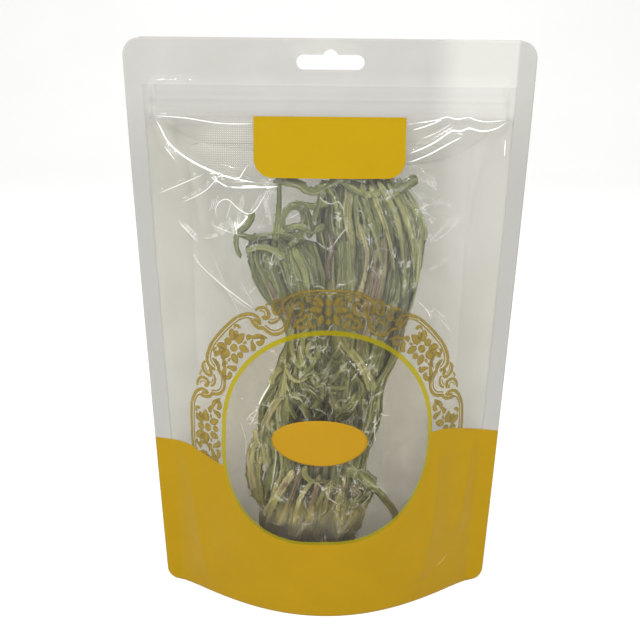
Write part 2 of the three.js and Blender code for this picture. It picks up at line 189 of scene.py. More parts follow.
class Level:
    """An output of a recipe's node."""

    def __init__(self, recipe, socket):
        self.recipe, self.socket = recipe, socket

    def math(self, operation, *others):
        inputs = {f"_{k}": value for k, value in enumerate((self, *others))}
        return self.recipe.add("Math", {"operation": operation}, **inputs)

    def __add__(self, other):
        return self.math("ADD", other)

    def __sub__(self, other):
        return self.math("SUBTRACT", other)

    def __rsub__(self, other):
        return self.recipe.add("Math", {"operation": "SUBTRACT"}, _0=other, _1=self)

    def __mul__(self, other):
        return self.math("MULTIPLY", other)

    def __truediv__(self, other):
        return self.math("DIVIDE", other)

    def __pow__(self, other):
        return self.math("POWER", other)

    def __abs__(self):
        return self.math("ABSOLUTE")

    def root(self):
        return self.math("SQRT")

    def at_least(self, other):
        return self.math("MAXIMUM", other)

    def between(self, low, high):
        """0 below low, 1 above high, and smooth in between."""
        return self.recipe.add("MapRange", {"interpolation_type": "SMOOTHSTEP"}, Value=self,
                               From_Min=low, From_Max=high)


class Recipe:
    """A material under construction."""

    def __init__(self, name):
        self.material = bpy.data.materials.new(name)
        self.material.use_nodes = True
        self.tree = self.material.node_tree
        self.tree.nodes.clear()
        self.end = self.tree.nodes.new("ShaderNodeOutputMaterial")

    def add(self, kind, settings=None, pick=0, **sockets):
        node = self.tree.nodes.new("ShaderNode" + kind)
        for key, value in (settings or {}).items():
            setattr(node, key, value)
        for key, value in sockets.items():
            socket = node.inputs[int(key[1:]) if key[0] == "_" else key.replace("_", " ")]
            if isinstance(value, Level):
                self.tree.links.new(value.socket, socket)
            else:
                socket.default_value = (*value, 1) if socket.type == "RGBA" else value
        return Level(self, node.outputs[pick])

    def parts(self, vector):
        """A vector's three numbers."""
        first = self.add("SeparateXYZ", Vector=vector)
        return [Level(self, output) for output in first.socket.node.outputs]

    def read(self, name):
        """What a mesh notes for each point: as a vector, and as its three numbers."""
        vector = self.add("Attribute", {"attribute_name": name}, "Vector")
        return [vector, *self.parts(vector)]

    def place(self):
        return self.add("TexCoord", pick="Object")

    def mix(self, share, first, second):
        """Colours, mixed."""
        return self.add("Mix", {"data_type": "RGBA"}, 2, _0=share, _6=first, _7=second)

    def blend(self, share, first, second):
        """Shaders, mixed."""
        return self.add("MixShader", _0=share, _1=first, _2=second)

    def noise(self, place, scale, detail=2.0, stretch=(1, 1, 1)):
        spread = self.add("Mapping", Vector=place, Scale=stretch)
        return self.add("TexNoise", Vector=spread, Scale=scale, Detail=detail)

    def bump(self, height, distance, strength=1.0):
        return self.add("Bump", Strength=strength, Distance=distance, Height=height)

    def solid(self, colour, rough, **more):
        return self.add("BsdfPrincipled", Base_Color=colour, Roughness=rough, **more)

    def clear(self, tint=(1, 1, 1)):
        return self.add("BsdfTransparent", Color=tint)

    def done(self, shader):
        self.tree.links.new(shader.socket, self.end.inputs["Surface"])
        return self.material


def dress(piece, *finishes):
    for finish in finishes:
        piece.data.materials.append(finish)


def floor_finish():
    r = Recipe("pale floor")
    tone = r.mix(r.noise(r.place(), 3.0), (0.86, 0.86, 0.85), (0.9, 0.9, 0.89))
    return r.done(r.solid(tone, 0.8))


dress(floor, floor_finish())
print("floor finish ready")

# %% [markdown]
# ## The pouch's form
# A stand-up pouch is two flat panels that are welded at their sides and pushed apart below by
# a folded base. Its form is a formula: half the space between the panels, by how far across
# and how high a point is. The same formula made the solids, so the films fit them. It works on
# whole arrays, because a film has tens of thousands of points.

# %% Form of the pouch
HEIGHT = 300.0
SIDE_SEAL = 8.5
CAVITY_TOP = 265.0
HALF_DEPTH = 34
SLOT_CENTRE = 289.0


def half_width(z):
    return 100 - 9 * np.clip(1 - z / HEIGHT, 0, 1) ** 1.3


def cavity_half(z):
    return half_width(z) - SIDE_SEAL


def across(x, z):
    """-1 and 1 at the side seals."""
    return x / cavity_half(z)


def fill_depth(x, z):
    s = np.clip(np.abs(across(x, z)), 0, 1)
    swell = HALF_DEPTH * np.clip(1 - (np.clip(z, 0, None) / CAVITY_TOP) ** 2.2, 0, 1) ** 0.8
    return swell * (1 - s * s) ** (1.15 + 0.75 * z / HEIGHT)


def hill(value, centre, width):
    return np.exp(-(((value - centre) / width) ** 2))


def smooth_step(value):
    value = np.clip(value, 0, 1)
    return value * value * (3 - 2 * value)


def panel_depth(x, z):
    """Half the space in the pouch, where the zip's tapes hold the panels a little apart too,
    with soft lines over their ribs."""
    ends = smooth_step((89.5 - np.abs(x)) / 5)
    tape = np.minimum(smooth_step((z - 254) / 10), smooth_step((284 - z) / 9))
    ribs = 0.42 * hill(z, 271.6, 1.0) + 0.15 * hill(z, 266.2, 0.8) + 0.28 * hill(z, 278.3, 0.9)
    return np.maximum(fill_depth(x, z), ends * (1.72 * tape + ribs))


print("depth at the base:", round(float(fill_depth(0.0, 0.0)), 1), "mm")

# %% [markdown]
# ## Folds in the film
# Tight film folds from its upper corners, where the flat header meets the full cavity. A fold
# is a line of points: the film stands highest on the line and drops away on both sides, so the
# crest is sharp. Waves of several lengths, added up, give the slack between the folds.

# %% Folds and waves


def points_in(text):
    """Points written as 1,2 3,4 and so on."""
    return [tuple(map(float, point.split(","))) for point in text.split()]


def rows_in(text):
    """A table's rows: each has its numbers, a colon and its points, which come first here."""
    rows = [row.split(":") for row in text.strip().splitlines()]
    return [(points_in(points), *map(float, numbers.split())) for numbers, points in rows]


def rounded(points):
    """Cuts the corners of a line of points twice, so that it bends softly."""
    line = np.array(points, float)
    for _ in range(2):
        near = line[:-1] * 0.75 + line[1:] * 0.25
        far = line[:-1] * 0.25 + line[1:] * 0.75
        corners = np.stack([near, far], 1).reshape(-1, 2)[1:-1]
        line = np.vstack([line[:1], corners, line[-1:]])
    return line


def near_line(x, z, points):
    """For each place: how far a line of points is, on which side, and how far along it."""
    line = rounded(points)
    steps = np.hypot(*np.diff(line, axis=0).T)
    before = np.concatenate([[0], np.cumsum(steps)])
    nearest, along, side = np.full_like(x, 1e3), np.zeros_like(x), np.ones_like(x)
    for (ax, az), (bx, bz), step, start in zip(line, line[1:], steps, before):
        share = np.clip(((x - ax) * (bx - ax) + (z - az) * (bz - az)) / step**2, 0, 1)
        away = np.hypot(x - ax - share * (bx - ax), z - az - share * (bz - az))
        closer = away < nearest
        nearest = np.where(closer, away, nearest)
        along = np.where(closer, (start + share * step) / before[-1], along)
        turn = (bx - ax) * (z - az) - (bz - az) * (x - ax)
        side = np.where(closer, np.where(turn < 0, -1, 1), side)
    return nearest, side, along


def crease(x, z, points, height, width):
    """How far a fold along points lifts the film."""
    away, _, along = near_line(x, z, points)
    ends = np.clip(np.minimum(along, 1 - along) / 0.12, 0, 1) * 0.9 + 0.1
    return height * ends * np.clip(1 - away / width, 0, 1) ** 2


def painted_glint_lines(x, z, folds):
    """How far each place is from the nearest painted glint line, with the side as its sign, half
    the line's width there, and how bright it is. The lines are painted highlights along sharp
    folds."""
    gap, half, white = np.full_like(x, 9.0), np.full_like(x, -3.0), np.zeros_like(x)
    for points, _, _, thick in folds:
        if thick:
            away, side, along = near_line(x, z, points)
            swell = np.sin(math.pi * along).clip(0, 1) ** 0.5
            width = thick * swell - 0.6 * (1 - swell) ** 4 - (away - 1.3).clip(0)
            first = away - width < np.abs(gap) - half
            gap = np.where(first, away * side, gap)
            half = np.where(first, width, half)
            white = np.where(first, min(0.3 + 1.9 * thick, 1), white)
    return gap, half.clip(-3), white


def waves(x, z, length, seed, count=7):
    """A soft uneven surface between -1 and 1."""
    draw = random.Random(seed)
    total = np.zeros_like(x)
    for _ in range(count):
        turn = draw.uniform(0, math.tau)
        pace = math.tau / (length * draw.uniform(0.7, 1.6))
        phase = draw.uniform(0, math.tau)
        total += np.sin(pace * (x * math.cos(turn) + z * math.sin(turn)) + phase)
    return total / count


# each fold: its height, its width, half the width of its painted glint line, and its line across
# and up
FRONT_FOLDS = rows_in("""
1.2 4 0.18: -87,263.4 -71,262.6 -59,260.5 -51,259.6 -36,259.8
2.6 6 0.37: -86,263 -83,258 -80,251 -75,246 -67,241 -58,237 -48,234 -35,232
1.6 4 0.3: -60,234.6 -55,232.4 -51,229.6 -43,229.6 -24,230.6
0.9 4 0.14: -53,237 -61,227 -74,221
0.9 4 0.14: -30,230 -33,224 -37,218 -40,216.5 -45,219 -50,224 -54,223 -57,219 -56,213
0.8 4 0.13: -61,236 -72,231 -86,225
0.7 3 0.14: -40,241 -45,233
0.9 3.5 0.14: -76,211 -66,201
0 1 0.09: -73,211 -66,204
1.2 5 0.13: -70,194 -59,184 -49,177 -36,169
0.8 3.5 0.11: -60,211 -49,207 -40,206
0.7 3 0.16: -82,249 -76,241
0.6 3 0.3: -40,216 -47,208
0.4 3 0.3: -47,213 -46,207
1.2 4 0.2: 36,260 53,262.4 57,264.4 62,262.6 68,264.2 71,262.6 77,261.6 88,263
2.4 6 0.31: 88,263 83,259 76,257 71,258 68,259 64,257 60,258 56,255 50,251 38,246
1.7 5 0.25: 66,255 56,250 49,246 38,242
0.8 3 0.22: 54,262 46,259 40,257.5
0.5 3 0.13: 60,261 52,256 45,253.5
0.8 4 0.16: 87,254 87,244
0.8 6 0: 80,251 73,245 70,239 69,229
1.5 11 0: -78,90 -74,60 -71,30 -66,8
1.3 12 0: 60,92 60,60 57,30 50,8
1.3 9 0: 80,95 78,60 74,34
""")
BACK_FOLDS = rows_in("""
2 7 0.24: -86,263 -70,252 -46,246 -20,247
1.2 6 0.18: -78,257 -70,236 -66,205
2.2 7 0.24: 86,263 72,249 52,240 24,239
1 6 0.18: 80,256 74,228 72,196
1.5 11 0: -72,92 -69,52 -62,12
1.5 11 0: 66,90 64,50 57,12
""")


def slack(x, z, folds, seed):
    """How far a panel stands out from the smooth form. The header was pressed hot, so it is
    flat but for a faint unevenness."""
    inside = np.clip((1 - np.abs(across(x, z))) * 6, 0, 1) * np.clip((CAVITY_TOP - z) / 12, 0, 1)
    foot = np.clip(z / 12, 0, 1)
    lift = 0.55 * waves(x, z, 46, seed) + 0.22 * waves(x, z, 17, seed + 1)
    lift = lift * inside * foot
    for points, height, width, _ in folds:
        lift = lift + crease(x, z, points, height, width) * np.clip(z / 8, 0, 1)
    seam = 6 + 36 * np.clip(np.abs(across(x, z)), 0, 1) ** 4
    header = 0.1 * waves(x, z, 14, seed) * np.clip((z - 281) / 3, 0, 1)
    return lift - 0.3 * hill(z, seam, 1.1) * foot + header


print(len(FRONT_FOLDS), "folds in front,", len(BACK_FOLDS), "behind")

# %% [markdown]
# ## The pouch's films
# Each panel starts as one flat grid, whose points are then sent to their places on the form.
# A film could be shrunk on by cloth simulation, but the folds in the photograph are known
# lines, and placing them keeps them where they are. The grid also carries a layout: how far
# across and up each point lies when the film is flat, which is how a printer sees it.

# %% Panel films
FILM_THICKNESS = 0.2
TOP_CORNER, FOOT_CORNER = 9.0, 8.0
PANEL_COLUMNS = 188
# rows of points up the panel, closer together over the zip
PANEL_ROWS = np.concatenate([
    np.linspace(0, 264, 212), np.linspace(264, 282, 30)[1:], np.linspace(282, HEIGHT, 16)[1:]])


def corner_inset(z, radius, end):
    """How far a rounded corner draws the edge in near one end."""
    into = np.clip(radius - np.abs(end - z), 0, radius)
    return radius - np.sqrt(radius**2 - into**2)


def flat_sheet(columns, rows):
    """A grid whose points lie in rows: across from -1 to 1, and from -1 to 1 up."""
    bm = bmesh.new()
    bmesh.ops.create_grid(bm, x_segments=columns, y_segments=rows - 1, size=1)
    return bm


def points_of(mesh):
    flat = np.empty(len(mesh.vertices) * 3)
    mesh.vertices.foreach_get("co", flat)
    return flat.reshape(-1, 3)


def put_points(mesh, points):
    """Moves a mesh's points to places in millimetres."""
    mesh.vertices.foreach_set("co", (np.asarray(points) * MM).ravel())
    mesh.update()


def note(mesh, name, *numbers):
    """Keeps three numbers for each point, for a finish to read."""
    kept = mesh.attributes.new(name, "FLOAT_VECTOR", "POINT")
    kept.data.foreach_set("vector", np.stack(numbers, 1).ravel())


def face_out(piece, side):
    """A grid's faces point forward, so a sheet at the back is turned over."""
    if side > 0:
        piece.data.flip_normals()
    return piece


def panel(name, side, folds, seed):
    """One panel's outer skin: side is -1 in front and 1 behind."""
    rows = len(PANEL_ROWS)
    piece = finished(name, flat_sheet(PANEL_COLUMNS, rows))
    grid = points_of(piece.data)
    z = PANEL_ROWS[np.rint((grid[:, 1] + 1) / 2 * (rows - 1)).astype(int)]
    inset = corner_inset(z, TOP_CORNER, HEIGHT) + corner_inset(z, FOOT_CORNER, 0)
    x = grid[:, 0] * (half_width(z) - inset)
    form = panel_depth(x, z)
    y = side * (np.maximum(form + slack(x, z, folds, seed), 0) + FILM_THICKNESS + 0.08)
    put_points(piece.data, np.stack([x, y, z], 1))
    row = np.lexsort((x, z)).reshape(rows, PANEL_COLUMNS + 1)
    steps = np.hypot(np.diff(x[row], axis=1), np.diff(form[row], axis=1))
    run = np.concatenate([np.zeros((rows, 1)), np.cumsum(steps, axis=1)], axis=1)
    length = np.zeros_like(x)
    length[row] = run - run[:, PANEL_COLUMNS // 2][:, None]
    note(piece.data, "layout", length, z, across(x, z))
    note(piece.data, "crest", *painted_glint_lines(x, z, folds))
    return face_out(piece, side)


front_film = panel("front_film", -1, FRONT_FOLDS, 3)
back_film = panel("back_film", 1, BACK_FOLDS, 8)
print("front film has", len(front_film.data.polygons), "faces before it gets its thickness")

# %% [markdown]
# ## The hang slot
# The slot is a long round-ended hole with a small nub on top. A boolean could cut it, but the
# films are open sheets here, which booleans dislike. Cutting the faces near each side of the
# outline with a plane, and then taking out what lies inside, leaves a clean rim.

# %% Cut the slot


def round_outline(centre, reach, radius, steps):
    """A stadium's outline, or a circle's where reach is 0."""
    points = []
    for k in range(steps):
        turn = math.tau * (k + 0.5) / steps - math.pi / 2
        push = reach if math.cos(turn) > 0 else -reach
        points.append((push + radius * math.cos(turn), centre + radius * math.sin(turn)))
    return points


def cut_hole(piece, outline):
    bm = bmesh.new()
    bm.from_mesh(piece.data)
    sides = list(zip(outline, outline[1:] + outline[:1]))
    for (ax, az), (bx, bz) in sides:
        middle = Vector(((ax + bx) / 2, 0, (az + bz) / 2)) * MM
        reach = (math.hypot(bx - ax, bz - az) / 2 + 2.2) * MM
        around = set()
        for face in bm.faces:
            away = face.calc_center_median() - middle
            if abs(away.x) < reach and abs(away.z) < reach:
                around.update([face, *face.edges, *face.verts])
        normal = Vector((bz - az, 0, ax - bx)).normalized()
        bmesh.ops.bisect_plane(bm, geom=list(around), plane_co=middle, plane_no=normal, dist=1e-7)

    def within(place):
        x, z = place.x / MM, place.z / MM
        return all((bx - ax) * (z - az) - (bz - az) * (x - ax) > 0
                   for (ax, az), (bx, bz) in sides)

    inside = [face for face in bm.faces if within(face.calc_center_median())]
    bmesh.ops.delete(bm, geom=inside, context="FACES")
    bm.to_mesh(piece.data)
    bm.free()
    return len(inside)


slot = round_outline(SLOT_CENTRE, 13.0, 3.5, 20)
nub = round_outline(SLOT_CENTRE + 2, 0, 4.0, 14)
for film in (front_film, back_film):
    print(film.name, "lost", cut_hole(film, slot) + cut_hole(film, nub), "faces to the slot")

# %% [markdown]
# ## Where things lie on the film
# Print and label follow the front film, folds and all. A ray from the front finds the film at
# any place across and up, and a table turns the printer's layout back into a place.

# %% Find the film


def tree_of(*pieces):
    bm = bmesh.new()
    for piece in pieces:
        bm.from_mesh(piece.data)
    tree = BVHTree.FromBMesh(bm)
    bm.free()
    return tree


def height_over(tree, x, z, side=-1, lift=0.0):
    """How far out a surface stands at a place, in millimetres, or None. A lift is measured
    square to the surface, so that it stays the same on its slopes."""
    start = Vector((x * MM, side * 0.2, z * MM))
    hit, normal = tree.ray_cast(start, Vector((0, -side, 0)))[:2]
    if hit is None:
        return None
    return side * hit.y / MM + lift / max(abs(normal.y), 0.3)


front_tree = tree_of(front_film)
TABLE_X = np.linspace(0, 95, 191)
TABLE_STEP = 3
table_run = []
for level in np.arange(0, HEIGHT + 1, TABLE_STEP):
    depths = panel_depth(TABLE_X, np.full_like(TABLE_X, level))
    steps = np.hypot(np.diff(TABLE_X), np.diff(depths))
    table_run.append(np.concatenate([[0], np.cumsum(steps)]))


def from_layout(u, v):
    """The place across, for a point u across and v up on the flat film."""
    level = min(max(v / TABLE_STEP, 0), len(table_run) - 1.001)
    low = int(level)
    near, far = (np.interp(abs(u), run, TABLE_X) for run in table_run[low:low + 2])
    return math.copysign(near + (far - near) * (level - low), u)


def on_front(u, v, lift):
    """A point of the layout on the front film, lift millimetres in front of its skin."""
    x = from_layout(u, v)
    out = height_over(front_tree, x, v, lift=lift)
    if out is None:
        out = panel_depth(x, v) + FILM_THICKNESS + lift
    return (x, -out, v)


print("70 mm across on the flat film is", round(from_layout(70, 100), 1), "mm across the pouch")

# %% [markdown]
# ## Printed border
# Round the window runs a border of lotus flowers, scrolls and a knotted double line, an old
# pattern. It is drawn with tapered strokes: a curve object holds them all, each point with a
# radius of its own. The strokes become a mesh, which is pressed flat and laid just behind the
# clear film, as ink is. One flower and one knot were measured, and the rest are their copies.

# %% The ring and its border's places
RING_MIDDLE = 102.3
RING_RADIUS = 57.5
RING_BULGE_LEFT, RING_BULGE_RIGHT = 7.3, 3.4
BORDER_RADIUS = 68.0


def ring_radius_at(angle):
    """The ring is round above, and its lower quarters are pulled a little outwards."""
    if math.sin(angle) >= 0:
        return RING_RADIUS
    bulge = RING_BULGE_RIGHT if math.cos(angle) > 0 else RING_BULGE_LEFT
    return RING_RADIUS + bulge * abs(math.sin(2 * angle)) ** 1.5


def border_place(turn, along, out):
    """A place on the flat film: along the ring from an angle, and out from the ring."""
    angle = math.radians(turn) + along / BORDER_RADIUS
    reach = ring_radius_at(angle) + out
    return math.cos(angle) * reach, RING_MIDDLE + math.sin(angle) * reach


def smooth_line(points, count):
    """More points on a smooth line through a few."""
    line = np.array(points, float)
    ends = np.concatenate([[2 * line[0] - line[1]], line, [2 * line[-1] - line[-2]]])
    out = []
    for k in range(count):
        share = k / (count - 1) * (len(line) - 1)
        i = min(int(share), len(line) - 2)
        t = share - i
        a, b, c, d = ends[i : i + 4]
        out.append(0.5 * (2 * b + (c - a) * t + (2 * a - 5 * b + 4 * c - d) * t**2
                          + (3 * b - a - 3 * c + d) * t**3))
    return out


print("the ring is", round(ring_radius_at(math.radians(-45)) * 2, 1), "mm over its lower bulge")

# %% The measured strokes
# each stroke: its width from end to end, and its points, along the ring and out from it
FLOWER = rows_in("""
1.6 3.7 4.1 3.7 1.6: 0,12.2 0,10.3 0,8.4
1.4 3.4 3.9 3.4 1: 0,16.9 0,14.8 0,12.7
1.6 3 3.2 2.6 1: 0,7 0,5.3 0,3.7
""")
HALF_FLOWER = rows_in("""
0.9 3 3.3 1.4: 6.3,17.9 4.5,16.1 2.7,13.2
1 2.6 1.2: 7.7,15.4 5.9,14.6 4.6,12.8
0.5 3.2 4 2.2: 10,12 6.5,11.7 3.4,11.1
1.4 3.2 3.3 0.8: 2.9,8.8 4.1,6.6 5.6,3.6
1.4 2.2 1.4: 7.1,9 7.1,7.6
1.7 1.3 1.3 0.5: 9.5,15.6 9.7,17.2 8.5,18 7,17.4
""")
SPRAY = rows_in("""
0.4 1.5 1.8 1.3 1.2 1.5 1.5 1.2: 20.2,4 18,5.5 15.9,7.1 13.7,7.6 12.3,8.4 11.2,9.7 10.2,9.1 10,8
1.4 1.6 1.7 1.8 1.1: 17.3,6.3 17.2,4.5 15.6,3.4 13.8,3.9 13.7,5.1
0.5 1.3 2.1 1.8 0.8: 11.9,7.2 10.6,6 9.9,4.1 8.9,3.2 7.2,3.7
""")
KNOT = rows_in("""
1.25: -15.3,20.8 -11.6,20.3 -8.2,19.3 -5.9,17.8 -4.9,16 -4.7,14 -5.1,12.1
0.55: -15.1,19.2 -11.3,18.5 -8.8,17.3 -7.2,15.4 -6.6,12.9
0.8 1.25 1.25: -9.1,14.1 -7.2,11.6 -5.3,7.6 -2.3,4.7 1.7,3.6 5.6,4.6 7.7,6.9 8.8,9.3 11.2,10.7 \
12.3,13.6 12.2,16.2
0.55: -5.9,11.3 -3.9,7.7 -1.1,6 2.2,5.5 5.2,6.7 6.5,8.9 7.3,10.2
1.25 1.25 1: 17.2,20.7 13.7,19.7 11.5,18.8 9.8,17.2 8.8,15.4 8.8,13.2 9.6,11.4
0.55: 18.1,19.3 14.5,18.3 13.1,17.4 12.1,16.1
1.1: 11,15.6 10.3,13.9 10.1,11.9
0.9 1.1 1.2 1.3 1.7: 8.3,18.9 7,19.3 5,19 3.3,18 2.7,15.9 3,14.1 4.3,13.1 5.7,13.6 6,14.9
0.45: 6.9,17.7 5.4,17.5 4.6,16 4.8,14.8
0.9 1.2 1.2 1.3 1.7: -5.5,19.1 -3.7,19.6 -1.8,19.1 -0.5,17.4 0.1,15.2 -0.3,13.5 -1.8,13.4 \
-3.1,14.5 -3.2,15.5
0.45: -4.1,18.3 -2.7,17.9 -1.6,16.1 -1.5,15
0.7: 2.6,18.9 1.7,19.4 0,18.9
0.8 1 0.8: 4.8,11.4 3.8,10.1 1.6,9.7 -0.7,10.4 -2,11.8
0.45: 3.5,12.1 1.9,11.2 -0.1,11.5
1.9 1.6 1.4 1.2 0.4: -11.7,14.9 -12.6,15.8 -13.9,15.3 -14.5,13.4 -13.7,11.2 -11.7,9.8 -9.2,9.7
0.6 1.7 1.6 0.4: -9.2,16.4 -9.1,14.1 -8.4,11.9 -6.9,10.2
""")
STROKE_STEP = 0.9
strokes = []


def draw_pattern(pattern, turn, way, fuller=1.0):
    """Adds a pattern's strokes at an angle: way is 1 or -1, and turns it over."""
    for points, *widths in pattern:
        length = sum(math.dist(a, b) for a, b in zip(points, points[1:]))
        count = max(int(length / STROKE_STEP), 5) + 2
        line = smooth_line(points, count)
        spread = np.interp(np.linspace(0, 1, count), np.linspace(0, 1, len(widths)), widths)
        strokes.append([(*border_place(turn, way * a, o), w * fuller / 2)
                        for (a, o), w in zip(line, spread)])


def arch(half):
    """The double line over a flower, between the knots at its sides."""
    reach = math.radians(half) * BORDER_RADIUS
    return [([(-reach + 2 * reach * k / 6, out) for k in range(7)], width)
            for out, width in ((20.9, 1.5), (19.2, 0.75))]


# angles on the ring: the flowers, the knots between them, and where each arch starts and ends
for turn in (-1.0, 42.5, 90.0, 137.5, 181.0):
    draw_pattern(FLOWER, turn, 1, 1.16)
    for way in (1, -1):
        draw_pattern(HALF_FLOWER, turn, way, 1.2)
        draw_pattern(SPRAY, turn, way, 1.5)
for turn, way in ((67.5, -1), (23.5, -1), (112.5, 1), (156.5, 1), (-20.5, -1), (200.5, 1)):
    draw_pattern(KNOT, turn, way, 1.42)
for start, end in ((80.3, 99.6), (127.2, 143.7), (171.2, 187.7), (36.3, 52.8), (-7.7, 8.8)):
    draw_pattern(arch((end - start) / 2), (start + end) / 2, 1)
print(len(strokes), "strokes in the border")

# %% Lay the border behind the film
# the upper edge of the gold foot of the print, on the flat film: across, up
FOOT_EDGE = points_in("""
-110,92 -100,90.7 -95,90 -89.6,89.5 -83.9,89.3 -79.8,88.5 -76.5,87.1 -71.4,85.2 -65.2,82.9
-59,81.5 -50,80 50,99 58,101 61.4,101.4 64,101.5 70.7,100.7 79.5,99.2 90.7,96.7 99,95.8 110,95
""")


def curve_of(lines, name):
    curve = bpy.data.curves.new(name, "CURVE")
    curve.dimensions = "3D"
    curve.bevel_depth = 1.0
    curve.bevel_resolution = 0
    curve.use_fill_caps = True
    for line in lines:
        spline = curve.splines.new("POLY")
        spline.points.add(len(line) - 1)
        for point, (u, v, radius) in zip(spline.points, line):
            point.co = (u, v, 0, 1)
            point.radius = radius
    return curve


def laid_mesh(curve, lift, thickness):
    """Presses a curve's mesh flat and lays it on the front film."""
    drawn = placed("drawn", curve)
    mesh = bpy.data.meshes.new_from_object(drawn.evaluated_get(
        bpy.context.evaluated_depsgraph_get()))
    bpy.data.objects.remove(drawn)
    bpy.data.curves.remove(curve)
    put_points(mesh, [on_front(u, v, lift + thickness * max(-1, min(1, w)))
                      for u, v, w in points_of(mesh)])
    return mesh


def shows(line):
    """Whether any of a stroke is above the gold foot."""
    return any(v > np.interp(u, *zip(*FOOT_EDGE)) for u, v, _ in line)


drawn_lines = curve_of(filter(shows, strokes), "border")
border_print = placed("border_print", laid_mesh(drawn_lines, -FILM_THICKNESS - 0.14, 0.05))
print("border print:", len(border_print.data.polygons), "faces")

# %% [markdown]
# ## Ink and film finishes
# The film is clear plastic over a thin milky layer. Where it is welded, at the sides and the
# header, it is milkier, and the hot tool leaves a fine mesh in it. The gold foot, the header
# plate and the ring are ink on the same film, so they are masks in its finish, drawn on the
# layout by formula. Ink over clear film lets warm light through, and over white ink none. The
# window is a warmer film. Beside the plate and round the slot the mesh gets painted glints, and
# the right shoulder gets a paler haze that is a painted reflection of the room.

# %% Masks of the print
EDGE_SPAN = 110.0
PLATE_MIDDLE, PLATE_TOP, PLATE_CORNER = 262.25, 263.5, 9.0
PLATE_HALF_WIDTH, PLATE_HALF_HEIGHT = 37.5, 27.75
MESH_PITCH = 1.1


def beyond_ring(u, v):
    """How far outside the ring a place is, in millimetres, below 0 in the window."""
    up = v - RING_MIDDLE
    squares = u * u + up * up
    lower = (abs(u) * up * -2.0 / squares).at_least(0.0)
    bulge = RING_BULGE_LEFT - u.between(-4, 4) * (RING_BULGE_LEFT - RING_BULGE_RIGHT)
    return squares.root() - (lower**1.5 * bulge + RING_RADIUS)


def foot_mask(u, v, beyond):
    """1 on the gold foot: below its measured edge and outside the window."""
    edge = u.recipe.add("FloatCurve", Value=(u + EDGE_SPAN) / (2 * EDGE_SPAN))
    mapping = edge.socket.node.mapping
    points = mapping.curves[0].points
    for k, (side, up) in enumerate(FOOT_EDGE):
        spot = ((side + EDGE_SPAN) / (2 * EDGE_SPAN), up / EDGE_SPAN)
        if k < 2:
            points[k].location = spot
        else:
            points.new(*spot)
    mapping.update()
    return v.math("LESS_THAN", edge * EDGE_SPAN) * beyond.math("GREATER_THAN", 0.5)


def plate_mask(u, v):
    """The header plate: square above, with round lower corners."""
    a = (abs(u) - (PLATE_HALF_WIDTH - PLATE_CORNER)).at_least(0.0)
    b = (abs(v - PLATE_MIDDLE) - (PLATE_HALF_HEIGHT - PLATE_CORNER)).at_least(0.0)
    inside = (a**2.0 + b**2.0).root().math("LESS_THAN", PLATE_CORNER)
    return inside * v.math("LESS_THAN", PLATE_TOP)


def pressed_mesh(u, v):
    """The fine mesh that the film carries, plainest where it was pressed hot."""
    a, b = ((way * (math.tau / MESH_PITCH)).math("SINE").at_least(0.0) for way in (u, v))
    return a * b


def painted_mesh_glint(u, v, middle, reach):
    """Painted glints: fine white dots where the pressed mesh would catch the light, in one part of
    the film.
    """
    a, b = (u - middle[0]) / reach[0], (v - middle[1]) / reach[1]
    glint_dots = pressed_mesh(u, v).between(0.1, 0.75)
    return glint_dots * (1.0 - (a * a + b * b).between(0.25, 1.0))


print("the header plate is", 2 * PLATE_HALF_WIDTH, "mm wide")

# %% Film finish
GOLD_PLATE, GOLD_FOOT = (0.28, 0.177, 0.002), (0.25, 0.146, 0.0005)
WARM_FILM = (0.97, 0.953, 0.912)


def add_painted_fold_glints(r, film, normal):
    """Lays the painted glint lines of the folds over a film. They are painted highlights in white.
    """
    _, gap, half, white = r.read("crest")
    line = 1.0 - (abs(gap) - half).between(-0.1, 0.2)
    line = line * r.noise(r.place(), 130.0).between(0.22, 0.46)
    return r.blend(line * white, film, r.solid((0.86, 0.86, 0.85), 0.25, Normal=normal))


def gold_wash(r, strength, tint, body):
    """Gold ink without white under it: a warm filter with some body."""
    return r.blend(strength, r.clear(tint), r.solid(body, 0.4, Specular_IOR_Level=0.0))


def film_shine(r, film, normal, bend=1.2, rough=0.06):
    """Puts the film's gloss over what it shows."""
    shine = r.add("BsdfGlossy", Color=(1, 1, 1), Roughness=rough, Normal=normal)
    return r.blend(r.add("Fresnel", IOR=bend, Normal=normal), film, shine)


def add_print(r, film, u, v, beyond, cloud, normal):
    """Lays the ring, the painted glints of the pressed mesh, the plate and the foot over the film.
    """
    wash = gold_wash(r, 0.5, (0.74, 0.65, 0.07), (0.29, 0.24, 0.005))
    film = r.blend(abs(beyond).math("LESS_THAN", 1.25), film, wash)
    plate, foot = plate_mask(u, v), foot_mask(u, v, beyond)
    shade = r.mix(cloud * 0.35, r.mix(foot, GOLD_PLATE, GOLD_FOOT), (0.33, 0.21, 0.003))
    gold = r.solid(shade, 0.42, Normal=normal, Specular_IOR_Level=0.0)
    # painted glints: white dots of the pressed mesh beside the plate and round the slot
    glint_dots = painted_mesh_glint(u, v, (-46, 249), (26, 15)).at_least(painted_mesh_glint(u, v, (-2, 294), (20, 7)))
    film = r.blend(glint_dots * 0.5, film, r.solid((0.9, 0.89, 0.84), 0.3))
    return r.blend(plate.at_least(foot), film, gold)


